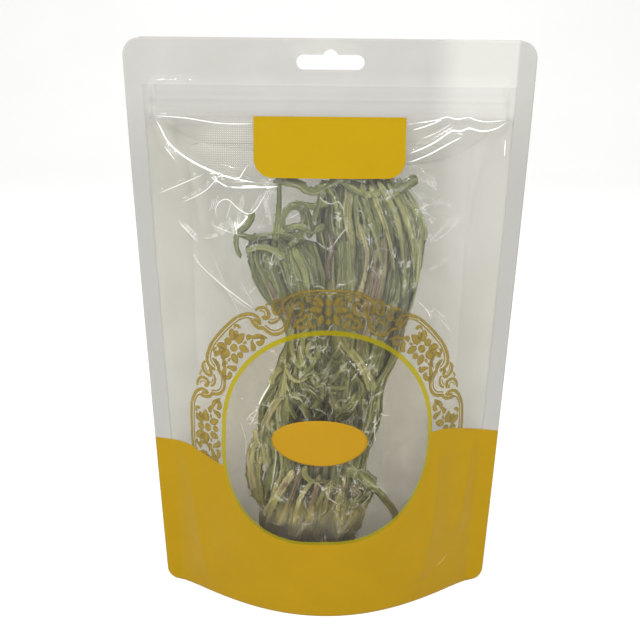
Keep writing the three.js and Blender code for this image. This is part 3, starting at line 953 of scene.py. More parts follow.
def pouch_film(name, milk, weld_milk, printed):
    """Clear film with welds, and for the front panel its print."""
    r = Recipe(name)
    place, u, v, s = r.read("layout")
    beyond = beyond_ring(u, v)
    sides = abs(s).between(0.985, 1.004)
    weld = sides.at_least(v.between(276.2, 278.4))
    cloud = r.noise(place, 0.045, 3.0)
    mesh = pressed_mesh(u, v) * (weld * 0.035 + cloud.between(0.5, 0.7) * 0.02)
    normal = r.bump(mesh + r.noise(place, 0.16, 4.0) * 0.22, MM, 0.7)
    milky = r.mix(cloud, (0.36, 0.353, 0.33), (0.415, 0.408, 0.388))
    milky = r.mix(sides * v.between(292.0, 225.0), milky, (0.33, 0.323, 0.303))
    tint = WARM_FILM
    if printed:
        milk = beyond.between(0.0, 0.3) * milk + 0.008
        tint = r.mix(beyond.between(-1.5, -0.9), (0.93, 0.905, 0.83), (0.99, 0.99, 0.985))
    zip_milk = v.between(256.0, 267.0) * 0.7
    haze_and_painted_light = (weld * weld_milk).at_least(zip_milk.at_least(milk)) + cloud * 0.01
    if printed:
        # painted reflection: the right shoulder gets a paler colour and more haze
        painted_shoulder_sheen = u.between(46, 66) * v.between(150, 215) * (1.0 - sides)
        milky = r.mix(painted_shoulder_sheen, milky, (0.5, 0.492, 0.465))
        haze_and_painted_light = haze_and_painted_light.at_least(painted_shoulder_sheen * 0.3)
    body = r.solid(milky, 0.45, Normal=normal, Specular_IOR_Level=0.1)
    film = r.blend(haze_and_painted_light, r.clear(tint), body)
    if printed:
        film = add_print(r, film, u, v, beyond, cloud, normal)
    return r.done(film_shine(r, add_painted_fold_glints(r, film, normal), normal))


def inner_side(name, milk, colour=(0.72, 0.7, 0.64), tint=(1, 1, 1)):
    """The film's inner side, which adds its haze."""
    r = Recipe(name)
    cloud = r.noise(r.read("layout")[0], 0.05, 3.0)
    haze = r.solid(colour, 0.5, Specular_IOR_Level=0.1)
    return r.done(r.blend((cloud * 0.3 + 0.85) * milk, r.clear(tint), haze))


def border_ink():
    r = Recipe("gold ink")
    strength = r.noise(r.place(), 260.0, 3.0) * 0.16 + 0.3
    return r.done(gold_wash(r, strength, (0.93, 0.78, 0.07), (0.295, 0.222, 0.001)))


dress(front_film, pouch_film("clear pouch film", 0.045, 0.8, True),
      inner_side("clear film inside", 0.006))
dress(back_film, pouch_film("milky pouch film", 0.22, 0.85, False),
      inner_side("milky film inside", 0.6, (0.31, 0.308, 0.262), WARM_FILM))
dress(border_print, border_ink())
print("film finishes ready")

# %% [markdown]
# ## The folded base
# The base is one gold film, folded up between the panels like a bellows. Its skirts are welded
# inside the panels below a curved seam, and a web runs between the seams. One grid makes it:
# across the pouch one way, and down a skirt, over the web and down the other skirt the other.

# %% Folded base
BASE_COLUMNS, BASE_ROWS = 72, 61
BASE_END = 0.4


def folded_base():
    """s runs across, and q from skirt to skirt, with the web between -1 and 1."""
    bm = flat_sheet(BASE_COLUMNS, BASE_ROWS)
    for vert in bm.verts:
        s, q = vert.co.x * 0.93, vert.co.y * 1.5
        seam = 6 + 36 * s**4
        rise = 3 * (1 - q * q) if abs(q) < 1 else 2 * (abs(q) - 1) * (BASE_END - seam)
        x = s * cavity_half(seam + rise)
        depth = fill_depth(x, seam + rise) - 0.25
        pleat = 0.5 * math.sin(9 * s + 2) * (1 - min(abs(q), 1) ** 2)
        vert.co = Vector((x, depth * max(-1, min(1, q)), seam + rise + pleat)) * MM
    bmesh.ops.recalc_face_normals(bm, faces=bm.faces)
    return finished("base_film", bm)


def gold_film():
    r = Recipe("gold base film")
    shade = r.mix(r.noise(r.place(), 40.0, 3.0), GOLD_FOOT, (0.32, 0.2, 0.004))
    normal = r.bump(r.noise(r.place(), 300.0, 4.0), 0.0004, 0.5)
    return r.done(r.solid(shade, 0.3, Normal=normal, Coat_Weight=0.4, Coat_Roughness=0.08))


def thicken(piece, amount, outward=-1, inner_finish=0):
    """Gives a film its thickness, inwards from its skin."""
    wall = piece.modifiers.new("thickness", "SOLIDIFY")
    wall.thickness = amount * MM
    wall.offset = outward
    wall.material_offset = inner_finish
    wall.material_offset_rim = inner_finish


base_film = folded_base()
thicken(base_film, 0.18, 0)
dress(base_film, gold_film())
print("folded base:", len(base_film.data.polygons), "faces")

# %% [markdown]
# ## Strips of stem
# A dried strip is flat, a few millimetres wide, creased along its length and never straight.
# Sculpting hundreds is out of reach, so one tube is the pattern for all: a circle extruded ring
# by ring. Each strip takes a copy and bends it round its own path, with its own width, twist
# and tone. Hair or curves could draw them too, but a mesh keeps the creased section.

# %% One strip's pattern
STRIP_RINGS = 34
# across and out, for a strip one unit wide: creased above, hollow below
STRIP_SECTION = np.array(points_in(
    "1,0.05 0.55,0.85 0.02,0.3 -0.5,0.95 -1,0 -0.45,-0.75 0.05,-0.35 0.6,-0.8"))
STRIP_SIDES = len(STRIP_SECTION)


def strip_pattern():
    bm = bmesh.new()
    bmesh.ops.create_circle(bm, cap_ends=True, segments=STRIP_SIDES, radius=1)
    rim = list(bm.edges)
    bmesh.ops.reverse_faces(bm, faces=list(bm.faces))
    for _ in range(1, STRIP_RINGS):
        grown = bmesh.ops.extrude_edge_only(bm, edges=rim)["geom"]
        fresh = [g for g in grown if isinstance(g, bmesh.types.BMVert)]
        bmesh.ops.translate(bm, verts=fresh, vec=(0, 0, 1))
        rim = [g for g in grown if isinstance(g, bmesh.types.BMEdge)
               and all(v in fresh for v in g.verts)]
    bmesh.ops.contextual_create(bm, geom=rim)
    bmesh.ops.recalc_face_normals(bm, faces=bm.faces)
    mesh = bpy.data.meshes.new("strip pattern")
    bm.to_mesh(mesh)
    bm.free()
    return mesh


pattern = strip_pattern()
pattern_x, pattern_y, pattern_z = points_of(pattern).T
pattern_ring = np.rint(pattern_z).astype(int)
turns = np.arctan2(pattern_y, pattern_x) / math.tau
pattern_side = np.rint(turns * STRIP_SIDES).astype(int) % STRIP_SIDES
print("one strip:", len(pattern.polygons), "faces")

# %% Bend the pattern into strips
PACKED_CLEAR = 1.6


def unit(vectors):
    return vectors / np.maximum(np.linalg.norm(vectors, axis=-1, keepdims=True), 1e-9)


def evened(points, count):
    """The same line with its points evenly spaced, and its length."""
    line = np.array(points, float)
    run = np.concatenate([[0], np.cumsum(np.linalg.norm(np.diff(line, axis=0), axis=1))])
    at = np.linspace(0, run[-1], count)
    return np.stack([np.interp(at, run, line[:, k]) for k in range(3)], 1), run[-1]


def bent(path, outward, seed, width, thick, twist, tone):
    """The pattern's points for one strip, and the notes that its finish reads."""
    line, length = evened(smooth_line(path, 3 * STRIP_RINGS), STRIP_RINGS)
    draw = random.Random(seed)
    along = unit(np.gradient(line, axis=0))
    side = unit(np.cross(along, unit(outward(line))))
    out = unit(np.cross(side, along))
    share = np.linspace(0, 1, STRIP_RINGS)
    turn = twist * np.sin(share * length / draw.uniform(22, 40) + draw.uniform(0, 6))
    cos, sin = np.cos(turn)[:, None], np.sin(turn)[:, None]
    swell = 1 + 0.2 * np.sin(share * length / draw.uniform(9, 16) + draw.uniform(0, 6))
    ends = np.clip(np.minimum(share, 1 - share) * 20, 0.3, 1)
    rough = np.random.default_rng(seed).normal(0, 0.13, (STRIP_RINGS, STRIP_SIDES, 2))
    a, b = (STRIP_SECTION * (1 + rough))[pattern_ring, pattern_side].T
    reach = (side * cos + out * sin) * (width / 2 * swell * ends)[:, None]
    rise = (out * cos - side * sin) * (thick / 2 * (1.15 - 0.3 * (swell - 1)) * ends)[:, None]
    places = line[pattern_ring] + reach[pattern_ring] * a[:, None] + rise[pattern_ring] * b[:, None]
    run = share[pattern_ring] * length + 900 * draw.random()
    return places, np.stack([run, a * width / 2, np.full_like(a, tone)], 1)


def bundle(name, strips):
    """Joins strips to one piece, pressed flat where they would reach the pouch's film."""
    bm = bmesh.new()
    for _ in strips:
        bm.from_mesh(pattern)
    piece = finished(name, bm)
    places, notes = zip(*(bent(**strip) for strip in strips))
    x, y, z = np.concatenate(places).T
    room = np.maximum(fill_depth(x, z) - PACKED_CLEAR, 0.6)
    put_points(piece.data, np.stack([x, y.clip(-room, room), z], 1))
    note(piece.data, "fibre", *np.concatenate(notes).T)
    print(name, len(piece.data.polygons), "faces")
    return piece


print("strips can be bent")

# %% [markdown]
# ## The two hanks
# Each hank's outline was measured in the photograph, and the solids hold the same outline. The
# strips fill it in layers all round: they run up the hank and some stop short, and a few shorter
# strips turn over the top, from the front down the back. A slow sway and a change of layer weave
# them through each other.

# %% Hank outlines
# by height: where the left and right edges lie across, and half the thickness
LEFT = {
    "low": 22, "high": 205,
    "left": points_in(
        "20,-35 46,-37 60,-37 70,-34 80,-34 88,-36 97,-36 111,-34.5 119,-31 "
        "128,-28 136,-23.5 143,-21.5 159,-20.5 165,-28 173,-35 183,-41 193,-44 "
        "204,-42 208,-38"),
    "right": points_in("20,0 71,2 107,3 152,2 193,-1 208,-15"),
    "deep": points_in("20,9 46,13.5 107,16 173,15 193,13 204,8 208,3"),
}
RIGHT = {
    "low": 21, "high": 236,
    "left": points_in("19,0 71,-2 107,-2 152,-2 193,-4 214,-7 236,-4"),
    "right": points_in(
        "19,18 48,19 56,20 62,24 68,22 75,20 83,23 94,26 106,30 126,31 131,33.5 "
        "137,37.5 142,39.5 160,42.5 175,47 196,50.5 208,51.5 216,48 221,44 229,39 "
        "236,35"),
    "deep": points_in("19,8 46,13 107,16.5 174,14.5 207,10.5 224,7 231,5 236,2.5"),
}
LEAN_BELOW = 84.0


def hank_at(hank, z):
    """The middle, half width and half thickness of a hank at a height."""
    left, right, deep = (np.interp(z, *zip(*hank[key])) for key in ("left", "right", "deep"))
    return (left + right) / 2, (right - left) / 2, deep


def hank_out(hank):
    """Which way is out, for points on a hank."""
    def outward(line):
        middle, wide, deep = hank_at(hank, line[:, 2])
        top = np.clip((line[:, 2] - hank["high"] + 12) / 12, 0, 1)
        return np.stack([(line[:, 0] - middle) / wide**2, line[:, 1] / deep**2, top * 0.05], 1)
    return outward


def out_by(scale, shift):
    """Which way is out, where it follows a point's place by a simple rule."""
    return lambda line: line * scale + shift


def strip_tone(draw):
    """Mostly grey-green, some straw, a few brown and purple."""
    kind = draw.random()
    if kind < 0.05:
        return draw.uniform(0.86, 0.98)
    return draw.uniform(0.62, 0.8) if kind < 0.22 else draw.uniform(0.05, 0.6)


def hank_strip(hank, angle, layer, seed):
    draw = random.Random(seed)
    low = hank["low"] + draw.uniform(0, 9)
    high = hank["high"] - (1 - layer) * 14 - draw.uniform(0, 5)
    whole = draw.random() < 0.5
    reach = 1.0 if whole else draw.uniform(0.4, 0.9)
    start = 0.0 if whole else draw.uniform(0, 1 - reach)
    sway, phase = draw.uniform(0.06, 0.26), draw.uniform(0, 6)
    paces, drift = draw.uniform(2.0, 5.5), draw.uniform(-0.5, 0.5)
    path = []
    for k in range(14):
        share = start + reach * k / 13
        z = low + (high - low) * share
        lean = 0.6 * max(LEAN_BELOW - z, 0) / LEAN_BELOW
        turn = angle + drift * (share - 0.5) + sway * math.sin(paces * share * 2 + phase) + lean
        out = min(layer * (1 + 0.12 * math.sin(8 * share + 2 * phase)) - 0.03, 1.03)
        middle, wide, deep = hank_at(hank, z)
        path.append((middle + (wide - 1.6) * out * math.cos(turn),
                     -(deep - 0.9) * out * math.sin(turn), z))
    broad = draw.random() < 0.38
    return dict(path=path, outward=hank_out(hank), seed=seed,
                width=draw.uniform(6.0, 9.5) if broad else draw.uniform(3.4, 5.8),
                thick=draw.uniform(1.0, 1.6), twist=draw.uniform(0.2, 0.9),
                tone=strip_tone(draw))


def hank_strips(hank, seed):
    """Layers of strips all round a hank, more of them outside."""
    strips = []
    for layer, count in ((1.0, 32), (0.88, 30), (0.72, 18), (0.5, 9)):
        for k in range(count):
            draw = random.Random(seed + len(strips))
            angle = math.tau * (k + draw.uniform(-0.3, 0.3)) / count
            strips.append(hank_strip(hank, angle, layer, seed + 1000 + len(strips)))
    return strips


def fold_strips(hank, seed, count):
    """Short strips that turn over the top of a hank, from its front to its back."""
    strips = []
    for k in range(count):
        draw = random.Random(seed + k)
        lane = -0.9 + 1.8 * (k + draw.uniform(-0.4, 0.4)) / (count - 1)
        top = hank["high"] - 1 - 4 * abs(lane) - draw.uniform(0, 4)
        path = []
        for drop, side in ((30, -1), (15, -1), (5, -0.9), (0, 0), (5, 0.9), (18, 1)):
            middle, wide, deep = hank_at(hank, min(top - drop, hank["high"] - 6))
            y = side * deep * math.sqrt(max(1 - lane * lane, 0.05))
            path.append((middle + (wide - 2) * lane + draw.uniform(-1.5, 1.5), y, top - drop))
        strips.append(dict(path=path, outward=out_by((0, 1, 0), (0, 0, 1)), seed=seed + 500 + k,
                           width=draw.uniform(3, 5), thick=draw.uniform(1.1, 1.7), twist=0.4,
                           tone=strip_tone(draw)))
    return strips


left_strips = bundle("left_strips", hank_strips(LEFT, 100) + fold_strips(LEFT, 5100, 12))
right_strips = bundle("right_strips", hank_strips(RIGHT, 400) + fold_strips(RIGHT, 5400, 14))

# %% [markdown]
# ## Strips that stand out
# Some strips can be told apart in the photograph: a pale broad one, the knot in the middle, a
# band round the head of the left hank, loose stems at the top. They are placed one by one, on
# the front of the bundle, so each has only its path across and up, its width and its tone.

# %% Single strips
# width, tone and how far over the bundle, and the path across and up
# the tone 1 strip from 0,207 down to 0.5,182 is painted shade: a dark strip in a gap that is only
# shadow
FEATURES = rows_in("""
6.5 0.62 1.2: 5,156 10,149 17,140 21,132 24,124
4 0.5 1.6: 8,150 6,147 2,139 -2,131 -3,126 -3,120 -9,115
3.2 0.6 2.2: 10,141 6,135 2,129 0,126 5,126 10,128
3.2 0.58 2: 0,127 3,121 6,114
3 0.58 1.6: -9,106 -12,114 -15,121 -18,123 -20,121 -19,115 -15,108
4 0.45 1.4: 12,139 14,134 18,128 16,121 10,115
4.6 0.56 1.8: 16,125 13,119 8,113 5,108
5.5 0.72 0.9: -24,120 -29,113 -32.5,104 -34,96 -33,86 -32,76
4.6 0.78 1: -38.5,98 -38,92 -35,86
5.6 0.74 0: -38,94 -41,85 -42,74 -40.5,63 -38,54
5.6 0.7 0.5: -36,90 -37.5,81 -38,70 -37,60 -36,50
4.5 0.66 1: -24,134 -28.5,129 -29.5,124
3.6 0.6 1.4: -18.5,158 -18.8,149 -17,141 -13,137
4.5 0.3 0.8: -27,125 -31,119 -35,111 -35.5,100 -35,90
3.6 0.64 1.8: -11,82 -12,77 -8,72 0,69 7,68
4.2 0.3 1: 22,99 20,85 18,73 15,61 9,48 8,39
8.5 0.5 0.8: 11,81 16,75 22,69 27,64
4.5 0.35 1.6: 12,57 19,60 25.5,65
2.6 0.64 1.5: 10,61 6.5,56 6.5,49 10,43
2.6 0.6 1.5: 12,61 16,56 16,49 12,43
4.5 0.8 1: -18,79 -20,74 -26,64 -33,51 -36,44
4.5 0.93 0.9: -13,79 -15,74 -20,60 -26,42
4 0.87 0.9: -4,74 -5,68 -8,55 -9,39
3.4 0.74 1.3: -8,72 -14,62 -17,50 -18,38
3.6 0.76 1.2: 3,72 1,60 -1,48 -2,36
3.6 0.64 1: 2,70 -4,58 -12,44 -18,34
3.4 0.7 1: 8,66 4,54 -2,42 -6,33
3.8 0.6 1: -22,70 -28,58 -32,46 -34,36
3 0.7 1.2: 14,50 10,42 6,34
5 0.42 0.4: 17,73 22,66 23.5,60 21,53 18,44 16,36
4.5 0.9 0.8: 13,69 18,62 19.5,55 17,46 13,37
3.8 0.3 0.6: 21,68 25,63 24,57 20,50 19,40
4 0.66 1.4: 8,62 13,55 17,49 19,40
3.6 1 0.4: 0,207 1.5,199 -0.5,190 0.5,182
4.2 0.25 1.8: -46,206.5 -39,204 -25,205.5 -12,202.5
4.6 0.5 1.2: -42,197 -35,200 -28,199 -22,195
3.4 0.42 0.2: -38,217 -41,210 -46,206 -47,200 -45,193
4 0.4 0.6: -25,231 -25,222 -26,211 -27,203
3.6 0.35 2: -22,207 -23,214 -19,220 -13,219 -10,212 -10,204
4.4 0.42 1.4: -2,230 -5,222 -7,214 -10,204
3.2 0.5 1: -18,222 -9,220 0,222
4 0.52 1.8: -26,207 -16,210 -8,208 -2,211
4 0.3 1.2: -20,200 -14,207 -12,214 -14,219
3.2 0.78 1.2: 15,212 18,203 19,194 17,182 14,172
3.4 0.6 0.9: 29,232 36,220 41,206 43,195 44,176
3.2 0.62 0.9: 24,233 31,221 36,206 38,190 38,174
3 0.66 0.9: 20,231 25,219 30,204 33,188
3.4 0.55 0.8: 16,232 19,219 24,205 27,190
3.4 0.56 1: 3,236 10,230 20,226 28,229
3.8 0.45 1: -4,233 2,226 5,216 5,205
3 0.7 1.6: 10,172 15,167 20,166
3.8 0.55 1: -8,168 -12,156 -14,143 -10,133
3.4 0.45 1.8: -4,150 -8,140 -14,133 -12,126 -6,122
3.2 0.4 1.8: -14,130 -8,124 -4,117 -7,110
""")
# width, thickness and tone, and the whole path, for stems that leave the bundle
LOOSE = rows_in("""
4.4 2.8 0.4: -28,-3,232 -17,-5,231.5 -8,-6,227.5 0,-6,232
5.4 3.6 0.3: 28,-4,224 34,-6,229 39,-7,232 43.5,-7,235
5 3 0.5: -8,-4,226 0,-5,231 10,-5,235 20,-4,235
5.2 2.6 0.52: 13,-10,79 20,-11,71 26,-10,65 31,-8,59 37,-6,50 42,-4,38
""")


def curl_rows(count, seed):
    """Small curled strips for the tangle in the middle of the bundle."""
    rows = []
    for k in range(count):
        draw = random.Random(seed + k)
        x, z = draw.uniform(-18, 12), draw.uniform(104, 150)
        reach, start = draw.uniform(3, 6.5), draw.uniform(0, math.tau)
        way = draw.choice((-1, 1)) * draw.uniform(0.55, 0.8)
        points = [(x + reach * math.cos(start + way * n), z + 1.3 * reach * math.sin(
            start + way * n)) for n in range(6)]
        rows.append((points, draw.uniform(1.8, 2.8), draw.uniform(0.3, 0.72),
                     draw.uniform(0.8, 2.4)))
    return rows


def bundle_front(x, z):
    """How far forward the bundle stands at a place."""
    best = 0.0
    for hank in (LEFT, RIGHT):
        middle, wide, deep = hank_at(hank, z)
        lane = (x - middle) / wide
        if abs(lane) < 1:
            best = max(best, float(deep * math.sqrt(1 - lane * lane)))
    return best


single = [
    dict(path=[(x, -(max(bundle_front(x, z), 5) + over), z) for x, z in points],
         outward=out_by((0.01, 0, 0), (0, -1, 0.2)), seed=7000 + k, width=width, thick=1.5,
         twist=0.5, tone=tone)
    for k, (points, width, tone, over) in enumerate(FEATURES + curl_rows(18, 60))
] + [
    dict(path=path, outward=out_by((0, 0, 0), (0, -1, 0.4)), seed=7700 + k, width=width,
         thick=thick, twist=0.3, tone=tone)
    for k, (path, width, thick, tone) in enumerate(LOOSE)
]
single_strips = bundle("single_strips", single)

# %% [markdown]
# ## Finish of dried stem
# Dried stem is matt and dusty, grey-green with straw and a few brown or purple strips. A ramp
# turns each strip's tone into its colour. Fine streaks run along the strip, so the noise that
# makes them is stretched along it, and the same streaks give the relief. The strips' edges are
# paler, partly their own pale edge and partly a painted highlight. The strips lowest in the bag
# are painted paler, painted light where the gold foot shades them.

# %% Stem finish
STEM_TONES = (
    (0.0, (0.055, 0.065, 0.015)), (0.3, (0.125, 0.143, 0.03)), (0.55, (0.23, 0.245, 0.07)),
    (0.68, (0.385, 0.37, 0.148)), (0.8, (0.51, 0.435, 0.22)), (0.86, (0.235, 0.155, 0.095)),
    (1.0, (0.14, 0.093, 0.073)),
)


def stem_finish(name, lighter):
    r = Recipe(name)
    fibre, _, rim, tone = r.read("fibre")
    streak = r.noise(fibre, 1.0, 4.0, (0.04, 1.0, 30))
    patch = r.noise(fibre, 1.0, 3.0, (0.08, 0.22, 30))
    ramp = r.add("ValToRGB", Fac=(patch - 0.5) * 0.35 + tone)
    stops = ramp.socket.node.color_ramp.elements
    for k, (spot, colour) in enumerate(STEM_TONES):
        if k > 1:
            stops.new(spot)
        stops[k].position = spot
        stops[k].color = (*colour, 1)
    # lighter streaks along the strip, and paler edges: partly each strip's own pale edge, partly a
    # painted highlight
    dust_and_edge_highlight = abs(rim).between(1.2, 3.4) * 0.4 + streak.between(0.48, 0.7) * 0.5
    skin = r.mix(dust_and_edge_highlight, ramp, lighter)
    skin = r.mix(streak.between(0.52, 0.34) * 0.6, skin, (0.05, 0.056, 0.02))
    # painted light: the strips lowest in the bag are made paler, where the gold foot shades them
    painted_low_light = r.parts(r.place())[2].between(0.062, 0.044) * 0.85
    skin = r.mix(painted_low_light, skin, (0.72, 0.63, 0.15))
    normal = r.bump(streak + patch * 0.8, 0.0014, 0.9)
    return r.done(r.solid(skin, 0.55, Normal=normal, Specular_IOR_Level=0.4))


straw_stem = stem_finish("dried straw stem", (0.435, 0.44, 0.205))
dress(left_strips, stem_finish("dried green stem", (0.385, 0.4, 0.18)))
dress(right_strips, straw_stem)
dress(single_strips, straw_stem)
print("stem finishes ready")

# %% [markdown]
# ## The vacuum bag
# Air is drawn out of the inner bag, so its film is pulled tight over the strips and spans the
# hollows between them. Cloth simulation can do this, slowly. A membrane does it in a second:
# each point moves to the mean of its neighbours, over and over, and never goes below the
# strips, which rays have measured. Sharp small ridges are added last, where the film is slack.

# %% Shrink the bag on
BAG_HALF = 70.0
BAG_LOW, BAG_HIGH = 16.0, 250.0
BAG_COLUMNS, BAG_ROWS = 116, 187
# folds that the photograph shows in the bag's front, as for the pouch
BAG_FOLDS = rows_in("""
2.2 4 0.34: -29.5,128 -33,122 -36.5,114.5 -38.5,109.5
0.9 3 0.19: -38,111 -41.5,107 -43.3,104.6 -44,102.5
0.7 3 0.14: -44,102 -41.5,101.3 -40,103.5 -39,107.3 -36.5,112
1.4 5 0.11: -62,186 -52,175 -39.5,164.5
1 4 0.09: -45,181 -37,167
1.6 5 0.07: -62,200 -52,176 -40,150 -30,132
1.3 4 0.09: 52,166 60,160 66,152
1.2 4 0.09: 50,200 60,206 67,214
0.8 3 0.22: 46,172 52,166 54,160
1.2 4 0.12: -49.7,109.4 -45,96.8 -43.7,91 -44.5,85 -43,79 -41.5,58
1.3 3 0.12: 19,74 20.5,70.7 25.6,67.7 31,65.7 35,59
0.8 3 0.19: 26,112 25,101.5 26.4,93.3
0.8 3 0.11: 23,128.5 22.9,121 21,115 19,106
0.5 2 0.28: 15.5,139 17.5,135
0.5 2 0.28: 20.5,134.5 22.3,131.5
0.7 3 0.1: 4,152 9,145 15,138
1 3 0.15: -28,100 -27,84 -31,62
0.6 3 0.15: -16,119 -12,113 -10,107
0.6 3 0.12: -22,214 -16,216 -12,222
0.8 3 0.14: -6,226 0,221 5,224 8,217
0.8 3 0.15: -7,204 0,198 7,209 12,213
""")


def small_creases(count, seed):
    """Clusters of short creases, as where a tight film is pinched between strips, each with a faint
    painted glint line.
    """
    draw = random.Random(seed)
    lines = []
    for _ in range(count):
        hank = LEFT if draw.random() < 0.45 else RIGHT
        z = draw.uniform(hank["low"] + 16, hank["high"] - 8)
        middle, wide, _ = hank_at(hank, z)
        x = float(middle + draw.uniform(-0.95, 0.95) * wide)
        for _ in range(draw.choice((1, 2, 3, 3))):
            turn, reach = draw.uniform(0, math.tau), draw.uniform(3, 11)
            bow = turn + draw.uniform(-0.6, 0.6)
            halfway = (x + 0.5 * reach * math.cos(bow), z + 0.5 * reach * math.sin(bow))
            end = (x + reach * math.cos(turn), z + reach * math.sin(turn))
            lines.append(([(x, z), halfway, end], 0.5, 2.2, draw.uniform(0.03, 0.15)))
    return lines


def bag_edge(z):
    return BAG_HALF - corner_inset(z, 4.0, BAG_HIGH) - corner_inset(z, 30.0, BAG_LOW)


def neighbours_mean(h):
    padded = np.pad(h, 1, mode="edge")
    return (padded[:-2, 1:-1] + padded[2:, 1:-1] + padded[1:-1, :-2] + padded[1:-1, 2:]) / 4


def membrane(ground, pinned, rounds):
    h = ground.copy()
    for _ in range(rounds):
        h = np.maximum(neighbours_mean(h), ground)
        h[pinned] = 0
    return h


def softened(ground):
    """Spreads the strips' heights by one step and rounds them, as a stiff film bridges them."""
    for axis in (0, 1):
        beside = [np.roll(ground, step, axis) for step in (1, -1)]
        ground = np.maximum(ground, np.maximum(*beside))
    return neighbours_mean(neighbours_mean(ground))


def ridges(x, z, length, seed):
    """Sharp crests: one minus the size of a wave."""
    return (1 - np.abs(waves(x, z, length, seed, 5)) * 2.4).clip(0, 1) ** 3


def bag_side(name, side, seed, tree, folds):
    piece = finished(name, flat_sheet(BAG_COLUMNS, BAG_ROWS))
    grid = points_of(piece.data)
    order = np.lexsort((grid[:, 0], np.rint(grid[:, 1] * 1e5))).reshape(BAG_ROWS, -1)
    z = BAG_LOW + (grid[:, 1] + 1) / 2 * (BAG_HIGH - BAG_LOW)
    x = grid[:, 0] * bag_edge(z)
    ground = np.array([max(height_over(tree, *place, side) or 0, 0) for place in zip(x, z)])
    rest = softened(ground[order])
    gx, gz = x[order], z[order]
    edge = (np.abs(gx) > bag_edge(gz) - 6) | (gz > BAG_HIGH - 8) | (gz < BAG_LOW + 4)
    tight = membrane(rest, edge, 260)
    span = np.clip((tight - rest) / 3, 0, 1)
    loose = np.where(edge, 0.12, 0.35 + 0.65 * span)
    lift = loose * (0.9 * ridges(gx, gz, 30, seed) + 0.55 * ridges(gx, gz, 13, seed + 1))
    for points, tall, wide, _ in folds:
        lift = lift + crease(gx, gz, points, tall, wide)
    room = np.maximum(fill_depth(gx, gz) - 0.5, 0.15)
    y, touching = np.empty((2, len(x)))
    y[order] = side * np.minimum(tight + 0.35 + lift * np.where(edge, 0.3, 1), room)
    touching[order] = np.clip(rest / 4, 0, 1) * (1 - span)
    put_points(piece.data, np.stack([x, y, z], 1))
    note(piece.data, "layout", x, z, touching)
    note(piece.data, "crest", *painted_glint_lines(x, z, folds))
    return face_out(piece, side)


contents = tree_of(left_strips, right_strips, single_strips)
bag_front = bag_side("bag_front", -1, 21, contents, BAG_FOLDS + small_creases(95, 91))
bag_back = bag_side("bag_back", 1, 31, contents, [])
print("bag:", len(bag_front.data.polygons) + len(bag_back.data.polygons), "faces")

# %% Bag finish


def bag_finish():
    """Thin film: clear, creased all over, and very glossy, with painted sparkles on crests over the
    strips and, low down, a paler veil of painted light.
    """
    r = Recipe("vacuum bag film")
    _, _, up, touching = r.read("layout")
    place = r.place()
    sharp = abs(r.noise(place, 190.0, 4.0, (1, 1, 0.7)) - 0.5)
    crests = 1.0 - (sharp * 9.0).math("MINIMUM", 1.0)
    relief = (crests * 0.6 + r.noise(place, 90.0, 3.0)) * (touching * 0.75 + 0.12)
    normal = r.bump(relief, MM, 0.9)
    patch = r.noise(place, 120.0).between(0.52, 0.6)
    # painted sparkles: white flecks on sharp crests where the film lies on the strips
    painted_sparkle = crests.between(0.72, 0.95) * patch * touching
    # painted light: below about 60 mm a paler veil lifts the shaded strips at the bottom
    haze_and_painted_light = painted_sparkle * 0.4 + 0.006 + up.between(60, 42) * 0.17
    film = r.blend(haze_and_painted_light, r.clear((0.995, 0.995, 0.99)), r.solid((0.86, 0.86, 0.83), 0.3))
    return r.done(film_shine(r, add_painted_fold_glints(r, film, normal), normal, 1.33, 0.08))


bag_finishes = (bag_finish(), inner_side("vacuum bag inside", 0.006))
dress(bag_front, *bag_finishes)
dress(bag_back, *bag_finishes)
print("bag finish ready")

# %% [markdown]
# ## The oval label
# The label is a paper sticker on the outside of the front film, so it follows every fold. A
# row of points spun once round its middle makes a disc with rings, which is stretched to an
# oval and laid on the film.

# %% Label
LABEL_MIDDLE = (-4.0, 101.8)
LABEL_SIZE = (50.0, 24.6)
LABEL_RINGS = 14


def oval_label():
    bm = bmesh.new()
    row = [bm.verts.new((k / LABEL_RINGS, 0, 0)) for k in range(LABEL_RINGS + 1)]
    edges = [bm.edges.new(pair) for pair in zip(row, row[1:])]
    bmesh.ops.spin(bm, geom=row + edges, cent=(0, 0, 0), axis=(0, 0, 1), angle=math.tau,
                   steps=84, use_merge=True)
    bmesh.ops.remove_doubles(bm, verts=bm.verts, dist=1e-5)
    for vert in bm.verts:
        x = LABEL_MIDDLE[0] + vert.co.x * LABEL_SIZE[0] / 2
        z = LABEL_MIDDLE[1] + vert.co.y * LABEL_SIZE[1] / 2
        vert.co = Vector((x, -(height_over(front_tree, x, z) + 0.22), z)) * MM
    bmesh.ops.recalc_face_normals(bm, faces=bm.faces)
    if sum(f.normal.y for f in bm.faces) > 0:
        bmesh.ops.reverse_faces(bm, faces=bm.faces)
    return finished("label", bm)


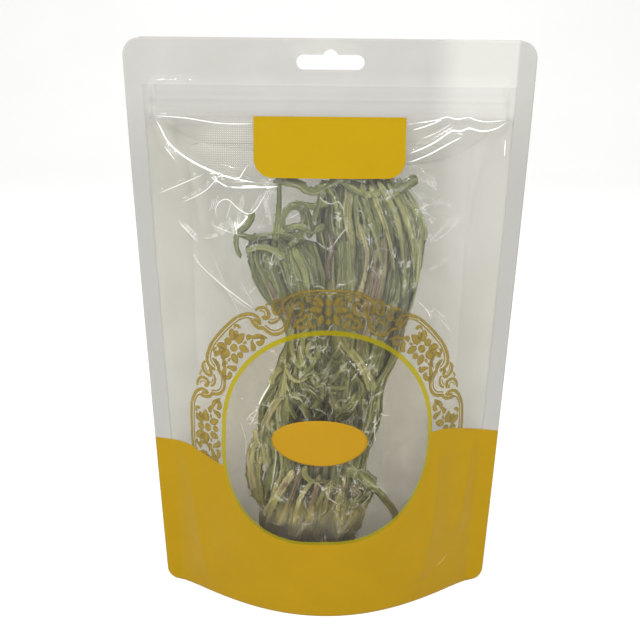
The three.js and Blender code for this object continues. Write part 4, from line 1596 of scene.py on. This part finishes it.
def label_paper():
    r = Recipe("label paper")
    ink = r.mix(r.noise(r.place(), 60.0, 3.0), (0.295, 0.162, 0.001), (0.275, 0.148, 0.001))
    normal = r.bump(r.noise(r.place(), 1500.0, 3.0), 0.0002, 0.35)
    return r.done(r.solid(ink, 0.5, Normal=normal, Specular_IOR_Level=0.15))


label = oval_label()
thicken(label, 0.18)
dress(label, label_paper())
print("label:", len(label.data.polygons), "faces")

# %% [markdown]
# ## The zip
# The zip's two tracks are right as they are in the solids: straight mouldings of one section.
# They stay, and get a clear moulded finish with faint lengthwise draw lines.

# %% Zip finish


def zip_finish():
    r = Recipe("zip plastic")
    lines = r.noise(r.place(), 900.0, 2.0, (0.02, 1, 1))
    body = r.solid((0.78, 0.78, 0.75), 0.3, Normal=r.bump(lines, 0.0003, 0.4))
    return r.done(r.blend(lines * 0.2 + 0.45, r.clear(), body))


zip_plastic = zip_finish()
for node in ("zip_rib_track", "zip_jaw_track"):
    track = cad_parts[node]
    track.data.materials.clear()
    dress(track, zip_plastic)
print("zip tracks finished")

# %% [markdown]
# ## Thickness, and what each piece stands for
# The films get their thickness last, so that everything above could follow one skin. Then each
# piece rides on the pouch's one body, and the solid that it stands for is hidden.

# %% Hand over the pieces
BAG_FILM = 0.12
for film, thickness in ((front_film, FILM_THICKNESS), (back_film, FILM_THICKNESS),
                        (bag_front, BAG_FILM), (bag_back, BAG_FILM)):
    thicken(film, thickness, -1, 1)

HANDOVER = [
    (front_film, "clear_film", "front_panel"),
    (back_film, "milky_film", "back_panel"),
    (base_film, "gold_print", "base_gusset"),
    (border_print, "gold_print", None),
    (label, "label_paper", "oval_label"),
    (bag_front, "bag_film", "inner_bag_front"),
    (bag_back, "bag_film", "inner_bag_back"),
    (left_strips, "dried_stem", "left_hank"),
    (right_strips, "pale_stem", "right_hank"),
    (single_strips, "pale_stem", None),
]
for piece, finish_slot, stands_for in HANDOVER:
    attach(piece, "root")
    if stands_for:
        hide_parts(stands_for)
print(len(HANDOVER), "pieces ride on the pouch")
